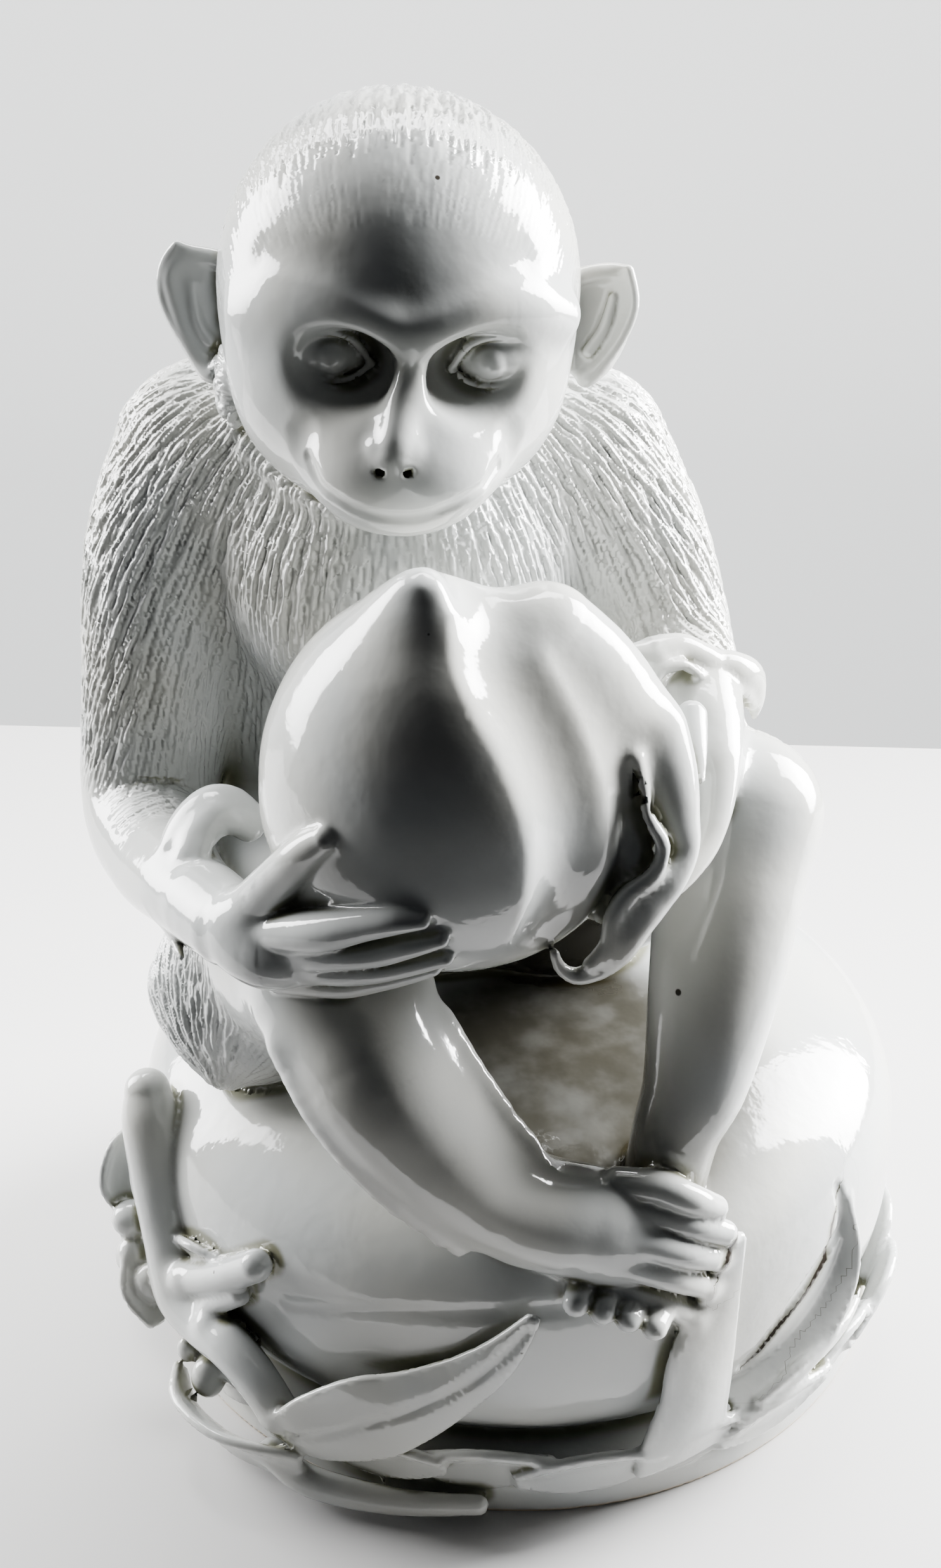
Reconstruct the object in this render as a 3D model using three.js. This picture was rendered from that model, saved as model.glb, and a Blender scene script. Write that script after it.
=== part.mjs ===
// A white porcelain monkey that sits on a big peach and holds a smaller one.
// Millimetres, +Z up. The origin is the middle of the flat underside; the face looks along -Y.
// The figure was modelled in clay and fired as one piece, so the form is described the same way:
// rounded volumes are blended together, hollows are cut, and folds are pressed in along lines.
import * as THREE from 'three';

// Driving dimensions
const BASE_CENTRE = [3, 5];
const RIM_RADIUS = 99;
const RIM_HEIGHT = 12;
const FRUIT_RADIUS = 101.5;
const FRUIT_MIDDLE = 52;
const FRUIT_HALF_HEIGHT = 48;
const HEAD_CENTRE = [-26, -6, 286];
const HELD_FOOT = [-14.4, -68, 155.7];
const LEAF_THICKNESS = 3;
const GRID_STEP = 2;
const TRIANGLE_COUNT = 9800;
const FAR = 1000;

// Small vector helpers
const add = (a, b, s = 1) => [a[0] + b[0] * s, a[1] + b[1] * s, a[2] + b[2] * s];
const dot = (a, b) => a[0] * b[0] + a[1] * b[1] + a[2] * b[2];
const cross = (a, b) => [
  a[1] * b[2] - a[2] * b[1],
  a[2] * b[0] - a[0] * b[2],
  a[0] * b[1] - a[1] * b[0],
];
const unit = (a) => add([0, 0, 0], a, 1 / Math.hypot(...a));

function smoothMin(a, b, k) {
  if (k <= 0) return Math.min(a, b);
  const h = Math.max(1.5 * k - Math.abs(a - b), 0) / (1.5 * k);
  return Math.min(a, b) - h * h * h * k / 4;
}

// A Catmull-Rom curve through rows of numbers, with the given steps between two rows
function smoothRows(rows, steps) {
  const out = [];
  for (let i = 0; i < rows.length - 1; i++) {
    const [a, b] = [rows[Math.max(i - 1, 0)], rows[i]];
    const [c, d] = [rows[i + 1], rows[Math.min(i + 2, rows.length - 1)]];
    for (let s = 0; s < steps; s++) {
      const t = s / steps;
      out.push(b.map((_, j) => b[j] + 0.5 * t * (c[j] - a[j]
        + t * (2 * a[j] - 5 * b[j] + 4 * c[j] - d[j]
        + t * (3 * (b[j] - c[j]) + d[j] - a[j])))));
    }
  }
  out.push([...rows[rows.length - 1]]);
  return out;
}

function boxOf(points, reach) {
  const lo = [0, 1, 2].map((i) => Math.min(...points.map((p) => p[i])) - reach);
  const hi = [0, 1, 2].map((i) => Math.max(...points.map((p) => p[i])) + reach);
  return { lo, hi };
}

// A lump of clay is a list of steps, each with the box that it acts in
class Clay {
  constructor() {
    this.steps = [];
  }

  step(kind, box, blend, distance) {
    const reach = 1.5 * blend + 10;
    this.steps.push({
      kind,
      blend,
      distance,
      lo: box.lo.map((v) => v - reach),
      hi: box.hi.map((v) => v + reach),
    });
    return this;
  }

  value(x, y, z) {
    let d = FAR;
    for (const s of this.steps) {
      if (x < s.lo[0] || x > s.hi[0] || y < s.lo[1] || y > s.hi[1] || z < s.lo[2] || z > s.hi[2]) {
        continue;
      }
      if (s.kind === 'join') d = smoothMin(d, s.distance(x, y, z), s.blend);
      else if (s.kind === 'cut') d = -smoothMin(-d, s.distance(x, y, z), s.blend);
      else d += s.distance(x, y, z);
    }
    return d;
  }

  box() {
    const joins = this.steps.filter((s) => s.kind === 'join');
    return boxOf(joins.flatMap((s) => [s.lo, s.hi]), 0);
  }

  join(other, blend) {
    return this.step('join', other.box(), blend, (x, y, z) => other.value(x, y, z));
  }

  ball(centre, radii, blend = 0, turn = [0, 0, 0], kind = 'join') {
    const reach = Math.max(...radii);
    return this.step(kind, boxOf([centre], reach), blend, ellipsoid(centre, radii, turn));
  }

  limb(stations, blend = 0, kind = 'join') {
    const reach = Math.max(...stations.map((r) => r[3]));
    return this.step(kind, boxOf(stations, reach), blend, rod(stations));
  }

  leaf(stations, blend = 0, thickness = LEAF_THICKNESS, kind = 'join') {
    const rows = smoothRows(stations, 4);
    const reach = Math.max(...rows.map((r) => r[6] + Math.abs(r[7])));
    return this.step(kind, boxOf(rows, reach), blend, sheet(rows, thickness));
  }

  // Turns a profile of radius and height round an upright axis
  turn(rows, foot, bend) {
    const top = add(foot, [0, 0, rows[rows.length - 1][1]]);
    const box = boxOf([foot, top], Math.max(...rows.map((r) => r[0])));
    return this.step('join', box, 0, turned(rows, foot, bend));
  }

  // Presses the surface in along a line, or lifts it where the depth is below zero
  press(rows, width, depth) {
    const line = rod(rows.map((r) => [r[0], r[1], r[2], 0]));
    return this.step('press', boxOf(rows, width - 5), 0, (x, y, z) => {
      const t = Math.min(line(x, y, z) / width, 1);
      return depth * (1 - t * t) ** 2;
    });
  }
}

function ellipsoid(centre, radii, turn) {
  const angles = turn.map((v) => THREE.MathUtils.degToRad(v));
  const e = new THREE.Matrix4().makeRotationFromEuler(new THREE.Euler(...angles, 'XYZ')).elements;
  const axes = [e.slice(0, 3), e.slice(4, 7), e.slice(8, 11)];
  return (x, y, z) => {
    const p = [x - centre[0], y - centre[1], z - centre[2]];
    let near = 0;
    let slope = 0;
    for (let i = 0; i < 3; i++) {
      const q = dot(p, axes[i]) / radii[i];
      near += q * q;
      slope += (q / radii[i]) ** 2;
    }
    const k = Math.sqrt(near);
    return slope === 0 ? -Math.min(...radii) : k * (k - 1) / Math.sqrt(slope);
  };
}

// A round rod along a smooth curve through rows of x, y, z and radius.
// The nearest of some straight pieces gives the first guess, which then slides along the curve.
function rod(rows) {
  const last = rows.length - 1;
  const pieces = [];
  const curves = [];
  for (let i = 0; i < last; i++) {
    const [a, b] = [rows[Math.max(i - 1, 0)], rows[i]];
    const [c, d] = [rows[i + 1], rows[Math.min(i + 2, last)]];
    const curve = b.map((_, k) => [
      b[k], 0.5 * (c[k] - a[k]), 0.5 * (2 * a[k] - 5 * b[k] + 4 * c[k] - d[k]),
      0.5 * (3 * (b[k] - c[k]) + d[k] - a[k]),
    ]);
    curves.push(curve);
    const at = (t) => curve.map(([k0, k1, k2, k3]) => k0 + t * (k1 + t * (k2 + t * k3)));
    const count = last > 1 ? 3 : 1;
    for (let n = 0; n < count; n++) {
      const [start, end] = [at(n / count), at((n + 1) / count)];
      const along = add(end, start, -1);
      pieces.push([...start, ...along, end[3] - start[3], dot(along, along), i + n / count, 1 / count]);
    }
  }
  return (x, y, z) => {
    let best = FAR;
    let t = 0;
    for (const piece of pieces) {
      const [ax, ay, az, r, dx, dy, dz, dr, len2] = piece;
      const px = x - ax;
      const py = y - ay;
      const pz = z - az;
      const s = Math.min(Math.max((px * dx + py * dy + pz * dz) / len2, 0), 1);
      const d = Math.hypot(px - dx * s, py - dy * s, pz - dz * s) - r - dr * s;
      if (d < best) {
        best = d;
        t = piece[9] + s * piece[10];
      }
    }
    if (best > 25 || last === 1) return best;
    for (let pass = 0; ; pass++) {
      const i = Math.min(Math.floor(t), last - 1);
      const s = t - i;
      let [away, speed, far2] = [0, 0, 0];
      for (let k = 0; k < 3; k++) {
        const [k0, k1, k2, k3] = curves[i][k];
        const gap = k0 + s * (k1 + s * (k2 + s * k3)) - (k === 0 ? x : k === 1 ? y : z);
        const slope = k1 + s * (2 * k2 + 3 * s * k3);
        away += gap * slope;
        speed += slope * slope;
        far2 += gap * gap;
      }
      if (pass === 2) {
        const [k0, k1, k2, k3] = curves[i][3];
        return Math.sqrt(far2) - (k0 + s * (k1 + s * (k2 + s * k3)));
      }
      t = Math.min(Math.max(t - away / speed, 0), last);
    }
  };
}

// A sheet through rows of centre, direction across, half width and hollow of the cross-section
function sheet(rows, thickness) {
  const last = rows.length - 1;
  const frames = rows.map((row, i) => {
    const along = unit(add(rows[Math.min(i + 1, last)], rows[Math.max(i - 1, 0)], -1));
    const slant = row.slice(3, 6);
    const across = unit(add(slant, along, -dot(slant, along)));
    return { across, face: cross(along, across) };
  });
  const parts = [];
  for (let i = 0; i < last; i++) {
    const along = add(rows[i + 1], rows[i], -1);
    const [a, b] = [frames[i], frames[i + 1]];
    const turn = add(b.across, a.across, -1);
    parts.push({ row: rows[i], next: rows[i + 1], along, a, b, turn, len2: dot(along, along) });
  }
  return (x, y, z) => {
    let best = FAR;
    for (const s of parts) {
      const p = [x - s.row[0], y - s.row[1], z - s.row[2]];
      let t = Math.min(Math.max(dot(p, s.along) / s.len2, 0), 1);
      let side = 0;
      let half = 0;
      for (let pass = 0; pass < 3; pass++) {
        half = Math.max(s.row[6] + (s.next[6] - s.row[6]) * t, 0.01);
        const across = add(s.a.across, s.turn, t);
        side = Math.min(Math.max(dot(add(p, s.along, -t), across), -half), half);
        if (pass === 2) break;
        const line = add(s.along, s.turn, side);
        t = Math.min(Math.max(dot(add(p, s.a.across, -side), line) / dot(line, line), 0), 1);
      }
      const lift = (s.row[7] + (s.next[7] - s.row[7]) * t) * (side / half) ** 2;
      const r = add(add(p, s.along, -t), add(s.a.across, s.turn, t), -side);
      const d = Math.hypot(...add(r, add(s.a.face, add(s.b.face, s.a.face, -1), t), -lift));
      if (d < best) best = d;
    }
    return best - thickness / 2;
  };
}

// A bun: round in plan, with a profile between an ellipse and a box
function bun(centre, radius, half, power) {
  return (x, y, z) => {
    const flat = Math.hypot(x - centre[0], y - centre[1]) / radius;
    const tall = Math.abs(z - centre[2]) / half;
    const sum = flat ** power + tall ** power;
    const k = sum ** (1 / power);
    if (k < 1e-6) return -half;
    const scale = k ** (1 - power);
    const slope = Math.hypot(scale * flat ** (power - 1) / radius, scale * tall ** (power - 1) / half);
    return (k - 1) / Math.max(slope, 1e-6);
  };
}

// A turned form with a profile through rows of radius and height, from its foot up to its tip.
// Its axis bends away by the last value toward the tip.
function turned(rows, foot, bend) {
  const last = rows.length - 1;
  const top = rows[last][1];
  const pieces = [];
  for (let i = 0; i < last; i++) {
    const [a, b] = [rows[Math.max(i - 1, 0)], rows[i]];
    const [c, d] = [rows[i + 1], rows[Math.min(i + 2, last)]];
    const curve = [0, 1].map((k) => [
      b[k], 0.5 * (c[k] - a[k]), 0.5 * (2 * a[k] - 5 * b[k] + 4 * c[k] - d[k]),
      0.5 * (3 * (b[k] - c[k]) + d[k] - a[k]),
    ]);
    const at = (t) => curve.map(([k0, k1, k2, k3]) => k0 + t * (k1 + t * (k2 + t * k3)));
    for (let n = 0; n < 2; n++) {
      const [start, end] = [at(n / 2), at(n / 2 + 0.5)];
      const [du, dv] = [end[0] - start[0], end[1] - start[1]];
      pieces.push([start[0], start[1], du, dv, du * du + dv * dv, n / 2, curve]);
    }
  }
  return (x, y, z) => {
    const v = z - foot[2];
    const lean = Math.min(Math.max(v / top, 0), 1.1) ** 3;
    const u = Math.hypot(x - foot[0] - bend[0] * lean, y - foot[1] - bend[1] * lean);
    let best = FAR * FAR;
    let curve = null;
    let t = 0;
    for (const [a, b, du, dv, len2, first, own] of pieces) {
      const s = Math.min(Math.max(((u - a) * du + (v - b) * dv) / len2, 0), 1);
      const d = (u - a - du * s) ** 2 + (v - b - dv * s) ** 2;
      if (d < best) {
        best = d;
        curve = own;
        t = first + s / 2;
      }
    }
    for (let pass = 0; ; pass++) {
      const [gu, gv] = curve.map(([k0, k1, k2, k3], k) => (k ? v : u) - k0 - t * (k1 + t * (k2 + t * k3)));
      const [su, sv] = curve.map(([, k1, k2, k3]) => k1 + t * (2 * k2 + 3 * t * k3));
      if (pass === 2) return (gu * sv - gv * su) / Math.hypot(su, sv);
      t = Math.min(Math.max(t + (gu * su + gv * sv) / (su * su + sv * sv), 0), 1);
    }
  };
}

// The big peach, its low round foot and the flat cut under it
function makeFruitBase() {
  const clay = new Clay();
  const [cx, cy] = BASE_CENTRE;
  const fruit = bun([cx, cy, FRUIT_MIDDLE], FRUIT_RADIUS, FRUIT_HALF_HEIGHT, 3);
  clay.step('join', boxOf([[cx, cy, FRUIT_MIDDLE]], FRUIT_RADIUS + 2), 0, fruit);
  const foot = bun([cx, cy, 4], RIM_RADIUS, RIM_HEIGHT, 4);
  clay.step('join', boxOf([[cx, cy, 4]], RIM_RADIUS + 2), 4, foot);
  return clay;
}

// A point at a distance from the axis of the big peach; 0 degrees is the front, 90 the right
function around(degrees, radius, z) {
  const a = THREE.MathUtils.degToRad(degrees);
  return [BASE_CENTRE[0] + radius * Math.sin(a), BASE_CENTRE[1] - radius * Math.cos(a), z];
}

// A ring of overlapping leaves round the foot
function makeGarland() {
  const clay = new Clay();
  const count = 24;
  const halves = [2, 6, 7.5, 6, 2];
  for (let i = 0; i < count; i++) {
    const rows = [];
    const out = 99.5 + 2 * (i % 2);
    for (let j = 0; j < 5; j++) {
      const turn = (j - 2) * 4.8;
      const [x, y, z] = around((i * 360) / count - 6 + turn, out + turn * 0.12, 17 + turn * 0.25);
      const [nx, ny, up] = around((i * 360) / count - 6 + turn, 1, 0.94);
      rows.push([x, y, z, (nx - BASE_CENTRE[0]) * 0.35, (ny - BASE_CENTRE[1]) * 0.35, up, halves[j], 1.5]);
    }
    clay.leaf(rows, 1.5);
  }
  return clay;
}

// The knotty branch at the front left, with its cut side stubs
function makeBranch() {
  const clay = new Clay();
  clay.limb([
    [-93, -29, 82, 6], [-92, -32, 75, 7.8], [-90, -38, 61, 7.6], [-87.5, -45, 47, 7],
    [-84, -53, 36, 7.4], [-77.5, -63, 34, 6.2], [-70.5, -73, 36, 5.8], [-63.4, -80, 32, 5.4],
    [-57.2, -85, 24.5, 5],
  ], 0);
  clay.limb([[-84, -53, 40, 4.6], [-73, -66, 52, 4.4], [-62, -78, 66, 4.2]], 3);
  clay.limb([[-78, -62, 38, 3], [-67, -72.5, 52, 2.8]], 2);
  clay.ball([-94, -37, 59, 0], [3, 3, 3.6], 3);
  clay.ball([-83, -57, 44, 0], [3, 3, 3], 3);
  clay.ball([-76, -68, 39, 0], [3, 3.4, 3], 3);
  return clay;
}

function makeFrontLeaves() {
  const clay = new Clay();
  // long pointed leaf across the front
  clay.leaf([
    [-60, -85, 21, -0.5, -0.1, 0.86, 3, 0], [-53, -90.5, 23, -0.45, 0, 0.9, 7.5, -1],
    [-45, -94, 27.5, -0.4, 0.1, 0.9, 9.8, -1.5], [-34.5, -97, 34, -0.42, 0.2, 0.88, 10.6, -1],
    [-24, -98.5, 39.5, -0.4, 0.2, 0.9, 8.6, -1], [-12, -99.5, 48, -0.45, 0.15, 0.88, 6, -1],
    [-3, -100.5, 57.5, -0.5, 0.1, 0.86, 3.8, -0.5], [4.5, -100.5, 69, -0.5, 0, 0.86, 0.8, 0],
  ], 1.5, 2.6);
  clay.press([
    [-60, -86, 21], [-53, -91.5, 23], [-45, -95.2, 27.5], [-34.5, -98.2, 34], [-24, -99.7, 39.5],
    [-12, -100.7, 48], [-3, -101.6, 57.5], [3, -101.6, 66],
  ], 2.4, 0.8);
  // cupped leaf under the branch, with a bud in it
  clay.leaf([
    [-85, -61, 17, -0.3, -0.35, 0.9, 2, 0], [-82, -70, 14, -0.35, -0.45, 0.85, 6, 1],
    [-72, -80, 12.5, -0.3, -0.5, 0.85, 8.4, 1.5], [-61, -86, 12, -0.2, -0.45, 0.88, 8, 1],
    [-53, -89, 11, -0.1, -0.3, 0.95, 5, 0],
  ], 1.5, 2.8);
  clay.ball([-77, -67, 20], [4.5, 4.5, 6], 1.5);
  clay.ball([-82.5, -61, 24], [3, 3, 4], 1.5);
  // twig that lies along the foot
  clay.limb([
    [-60, -83, 10, 3.6], [-52, -88, 6, 4], [-39, -92.5, 5, 3.8], [-24.5, -95.5, 5, 3.2],
    [-8, -97.5, 6.5, 2.6],
  ], 2);
  // broad leaf that stands at the front right
  clay.leaf([
    [43, -90, 16, 0.86, 0.5, 0.05, 12.5, 1], [43.5, -91.5, 24, 0.86, 0.5, 0, 11, 1.5],
    [45.5, -91, 36, 0.86, 0.5, 0, 9, 1.5], [46.5, -90, 50, 0.86, 0.5, 0, 8.2, 1],
    [49.5, -87.5, 62, 0.86, 0.5, 0, 5, 0.5], [53, -84.5, 80, 0.86, 0.5, 0, 1.2, 0],
  ], 1.5, 3);
  // narrow leaves that lean on the big peach at the right
  clay.leaf([
    [56, -81, 24, 0.5, -0.6, -0.6, 4, 0], [68, -73, 31, 0.5, -0.5, -0.7, 5.5, 1],
    [79, -64, 41, 0.5, -0.5, -0.7, 5, 1], [84.5, -57, 52, 0.6, -0.5, -0.6, 3, 0.5],
    [84, -52, 66, 0.6, -0.6, -0.5, 0.8, 0],
  ], 1.5, 2.8);
  clay.leaf([
    [62, -80, 24, 0.3, -0.4, 0.85, 2, 0], [73, -73, 27, 0.3, -0.3, 0.9, 4.6, -1],
    [83, -63, 30, 0.4, -0.3, 0.85, 4.2, -1], [89, -52, 32, 0.5, -0.3, 0.8, 1, 0],
  ], 1.5, 2.6);
  return clay;
}

// Curled petals and small leaves behind the branch
function makeBlossom() {
  const clay = new Clay();
  clay.leaf([
    [-99, -22, 64, -0.8, -0.5, 0, 1, 0], [-102.5, -26, 60, -0.7, -0.6, 0, 4, -1.5],
    [-103.5, -29, 53, -0.7, -0.6, 0, 4.4, -1.5], [-101, -31, 46, -0.8, -0.5, 0, 2, 0],
  ], 1, 2.4);
  clay.ball([-99, -36, 46], [5, 5, 5], 1.5);
  clay.ball([-98.5, -40, 37], [4.6, 5, 5.5], 1.5);
  clay.ball([-93, -46, 33], [5, 4.5, 6], 1.5);
  clay.leaf([
    [-98, -40, 40, -0.6, -0.7, 0.2, 2, 0], [-96, -46, 32, -0.6, -0.7, 0.2, 5, 1],
    [-92, -51, 24, -0.6, -0.7, 0.2, 2, 0],
  ], 1, 2.4);
  clay.leaf([
    [-84, -50, 50, 0, -0.6, 0.8, 1, 0], [-79, -58, 54, 0, -0.6, 0.8, 3.5, 0.5],
    [-73, -64, 56, 0, -0.6, 0.8, 1, 0],
  ], 1, 2.4);
  return clay;
}

function makeTorso() {
  const clay = new Clay();
  clay.ball([-24, 34, 128], [60, 48, 42], 10);
  clay.ball([-27, 26, 185], [54, 42, 55], 20);
  clay.ball([-29, 22, 228], [60, 36, 36], 16);
  clay.ball([-27, -8, 212], [38, 22, 32], 14);
  clay.limb([[-27, 22, 246, 31], [-26, 4, 272, 29]], 14);
  return clay;
}

function makeHead() {
  const clay = new Clay();
  const [cx, cy, cz] = HEAD_CENTRE;
  const at = (x, y, z, ...more) => [cx + x, cy + y, cz + z, ...more];
  clay.ball(at(0, 0, 2), [40.5, 43, 42], 8);
  clay.ball(at(0, -15, -18), [35, 29, 27], 12);
  // muzzle and lower jaw
  clay.ball(at(1.5, -37, -26.5), [21, 19, 13.5], 9);
  clay.ball(at(1, -37, -33.5), [14.5, 14.5, 7.5], 5);
  // brow bone over both eyes
  clay.limb([
    at(-30, -22, 2, 3.4), at(-23, -30.5, 6.5, 3.6), at(-13, -37, 7, 3.6), at(-4, -40.5, 5, 3.2),
    at(3, -41.5, 3.5, 3), at(11, -40.5, 5, 3.2), at(20, -36.5, 7, 3.6), at(28.5, -30.5, 5.5, 3.6),
    at(35, -22, 1, 3.4),
  ], 9);
  // sockets, then eyeballs, irises and lids in them
  for (const side of [-1, 1]) {
    const ex = 3.5 + side * 16.6;
    const ey = -28.7 + side * 0.8;
    const ez = -4 - side * 0.9;
    clay.ball(at(ex - side * 2.2, ey - 13, ez - 1.6), [12, 10, 8.6], 5, [0, 0, -side * 20], 'cut');
    clay.ball(at(ex, ey, ez), [8.8, 8, 6.8], 1.5, [0, 0, -side * 20]);
    clay.ball(at(ex, ey - 5, ez - 0.4), [4.3, 4.2, 4.3], 0.4);
    clay.limb([
      at(ex - side * 8.2, ey - 5.4, ez - 2.4, 0.8), at(ex - side * 4.6, ey - 7.4, ez + 3.4, 1),
      at(ex, ey - 7.2, ez + 5.4, 1.1), at(ex + side * 4.8, ey - 5, ez + 4.2, 1),
      at(ex + side * 8.6, ey - 1.6, ez + 0.2, 0.8),
    ], 1);
    clay.limb([
      at(ex - side * 8.2, ey - 5.4, ez - 2.4, 0.7), at(ex - side * 3.4, ey - 6.2, ez - 5.4, 0.8),
      at(ex + side * 2.8, ey - 5.2, ez - 5.4, 0.8), at(ex + side * 8.6, ey - 1.6, ez + 0.2, 0.7),
    ], 1);
  }
  // nose
  clay.limb([
    at(3.6, -37, 3, 2.6), at(3.2, -40, -5, 2.2), at(2, -45, -11, 2.7), at(0.6, -51, -17, 3.4),
    at(0, -52.5, -19.5, 3.2),
  ], 4);
  clay.ball(at(-3.6, -49.8, -19), [2.1, 3, 2.3], 1.6);
  clay.ball(at(3.9, -49.8, -19), [2.1, 3, 2.3], 1.6);
  clay.ball(at(-2.6, -53.5, -22.5), [1.3, 2, 1], 0.8, [0, 0, 0], 'cut');
  clay.ball(at(2.8, -53.5, -22.5), [1.3, 2, 1], 0.8, [0, 0, 0], 'cut');
  // smiling mouth, and the folds at both ends of it
  clay.press([
    [-44.6, -49.5, 262], [-43.2, -52.2, 258.6], [-41.1, -54.4, 257.3], [-37.8, -57, 255.9],
    [-34.3, -58.6, 254.4], [-29.4, -60, 253.4], [-24.8, -60.4, 253.1], [-20, -60, 253.4],
    [-15.9, -59, 254.6], [-10.7, -56.8, 256.3], [-7, -53.6, 257.6], [-3.6, -48, 260.5],
  ], 2.6, 1.3);
  clay.press([[-45, -47, 266], [-45.5, -49, 262], [-44, -51, 259]], 6, 0.8);
  clay.press([[-1.5, -44.5, 265], [-2.6, -46, 260.5], [-4.5, -49, 258.5]], 6, 0.8);
  // crease over the brow
  clay.press([
    [-52, -33, 301.5], [-44, -40, 303], [-36, -44, 302], [-28, -47, 298], [-22, -48, 296.5],
    [-14, -46, 299.5], [-6, -42, 302.5], [2, -36, 302],
  ], 6, 0.5);
  return clay;
}

// Both ears: a thin shell, a rolled rim, and a fold and a hole inside it
function makeEars() {
  const clay = new Clay();
  clay.leaf([
    [-69.5, 4, 290, 0.9, 0.2, -0.1, 7, -1.5], [-71.5, 4, 284, 0.95, 0.2, 0, 8.4, -2.5],
    [-70.5, 3, 276, 0.95, 0.2, 0, 7, -2.2], [-68.5, 1, 266, 0.95, 0.2, 0.1, 3, -1],
  ], 2, 3);
  clay.limb([
    [-63, 3, 288, 2], [-69, 3.5, 290.5, 2], [-75, 4, 290, 1.9], [-78, 4, 286, 1.9], [-77, 3.5, 280, 1.9],
    [-75, 2.5, 273, 2], [-72, 1, 267, 2.2], [-69, -1, 264.5, 2.6], [-66.5, -2, 268, 2.2],
  ], 1.5);
  clay.limb([[-73.5, 3, 284, 1], [-72.3, 1.5, 276, 1.3], [-69.5, 0.5, 271.5, 1.4]], 1.2);
  clay.ball([-66.5, 0, 277], [2, 3.5, 3], 1, [0, 0, 0], 'cut');
  clay.leaf([
    [20, 6, 286, 0.9, -0.1, 0.1, 6, 1.5], [21, 6, 279, 0.95, -0.2, 0, 6.6, 2],
    [19, 4, 271, 0.95, -0.2, 0, 5, 1.6], [16, 1, 264, 0.95, -0.2, -0.1, 2, 0.6],
  ], 2, 3);
  clay.limb([
    [14, 4, 285.5, 2], [20, 5, 286.5, 1.9], [25, 6, 285, 1.9], [26.3, 6, 279, 1.9],
    [24.3, 4, 271.5, 1.9], [21, 2, 266, 2], [16.5, 0, 263, 2.2],
  ], 1.5);
  clay.limb([[22.5, 3.5, 281, 1], [20.5, 2.5, 274, 1.3], [17, 1, 269, 1.4]], 1.2);
  return clay;
}

function makeArms() {
  const clay = new Clay();
  clay.limb([
    [-72, 24, 232, 27], [-83, 15, 212, 22.5], [-88, 6, 182, 19], [-91, -4, 154, 16.5],
    [-85, -28, 152, 13.6], [-76, -54, 158.5, 10.6], [-64, -76, 162.5, 9.2],
  ], 0);
  clay.limb([
    [14, 24, 231, 27], [28, 14, 213, 22], [38, 2, 196, 16.5], [42, -20, 189.5, 12.8],
    [41, -48, 187, 10.5],
  ], 0);
  return clay;
}

// The hand under the left of the held peach: a palm, a thumb and four fingers
function makeLowerHand() {
  const clay = new Clay();
  clay.limb([[-70, -66, 161.5, 9.4], [-62, -78, 163, 9.2], [-54, -87, 163, 9], [-46, -91, 164.5, 7]], 0);
  clay.limb([
    [-58.6, -83, 169, 6.4], [-51.6, -91, 182.6, 5], [-44.7, -98.6, 194.2, 4.2],
    [-39.9, -102.8, 200.2, 3],
  ], 6);
  clay.limb([[-47.6, -84, 170.4, 5], [-41.4, -91, 180.4, 5], [-36.3, -95, 186, 4.5]], 3);
  const fingers = [
    [
      [-54.3, -89.0, 168.7, 4.6], [-46.8, -96.0, 173.3, 4.7], [-39.9, -101.5, 177.2, 4.5],
      [-32.1, -106.0, 181.5, 3.7], [-25.4, -109.2, 184.4, 3.0], [-20.2, -110.3, 185.1, 2.0],
    ],
    [
      [-54.1, -86.0, 161.3, 4.4], [-47.2, -93.0, 166.4, 4.4], [-40.3, -98.0, 169.5, 4.2],
      [-30.3, -103.0, 172.6, 3.3], [-22.8, -106.5, 176.6, 2.8], [-16.3, -108.6, 179.4, 1.9],
    ],
    [
      [-53.0, -84.0, 157.2, 4.2], [-44.8, -91.0, 161.3, 4], [-37.6, -95.5, 163.3, 3.7],
      [-30.3, -99.5, 166.0, 3.1], [-23.0, -102.0, 168.9, 2.6], [-15.3, -105.5, 172.8, 1.8],
    ],
    [
      [-52.6, -82.0, 152.9, 4], [-44.8, -87.0, 154.7, 3.6], [-37.6, -91.0, 156.5, 3.2],
      [-30.3, -94.5, 160.0, 2.8], [-23.2, -97.5, 163.7, 2.4], [-18.1, -100.0, 166.6, 1.8],
    ],
  ];
  for (const finger of fingers) clay.limb(finger, 1.2);
  return clay;
}

// The hand round the right of the held peach: fingers that narrow downward and a pointed thumb
function makeUpperHand() {
  const clay = new Clay();
  clay.limb([
    [43.7, -32.0, 195.1, 9.7], [44.5, -42.0, 192.9, 8.4], [45.3, -51.0, 190.3, 6.3],
    [45.4, -58.0, 186.8, 4.6], [44.3, -64.0, 182.9, 3.7], [41.9, -70.0, 179.0, 3.1],
    [38.3, -76.0, 176.3, 2.4], [34.4, -81.0, 174.3, 1.7], [31.3, -85.0, 173.7, 0.8],
  ], 0);
  clay.limb([
    [38.9, -56.0, 204.2, 3.7], [39.4, -66.0, 200.8, 2.4], [39.9, -73.0, 197.5, 1.0],
  ], 1.5);
  return clay;
}

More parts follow.
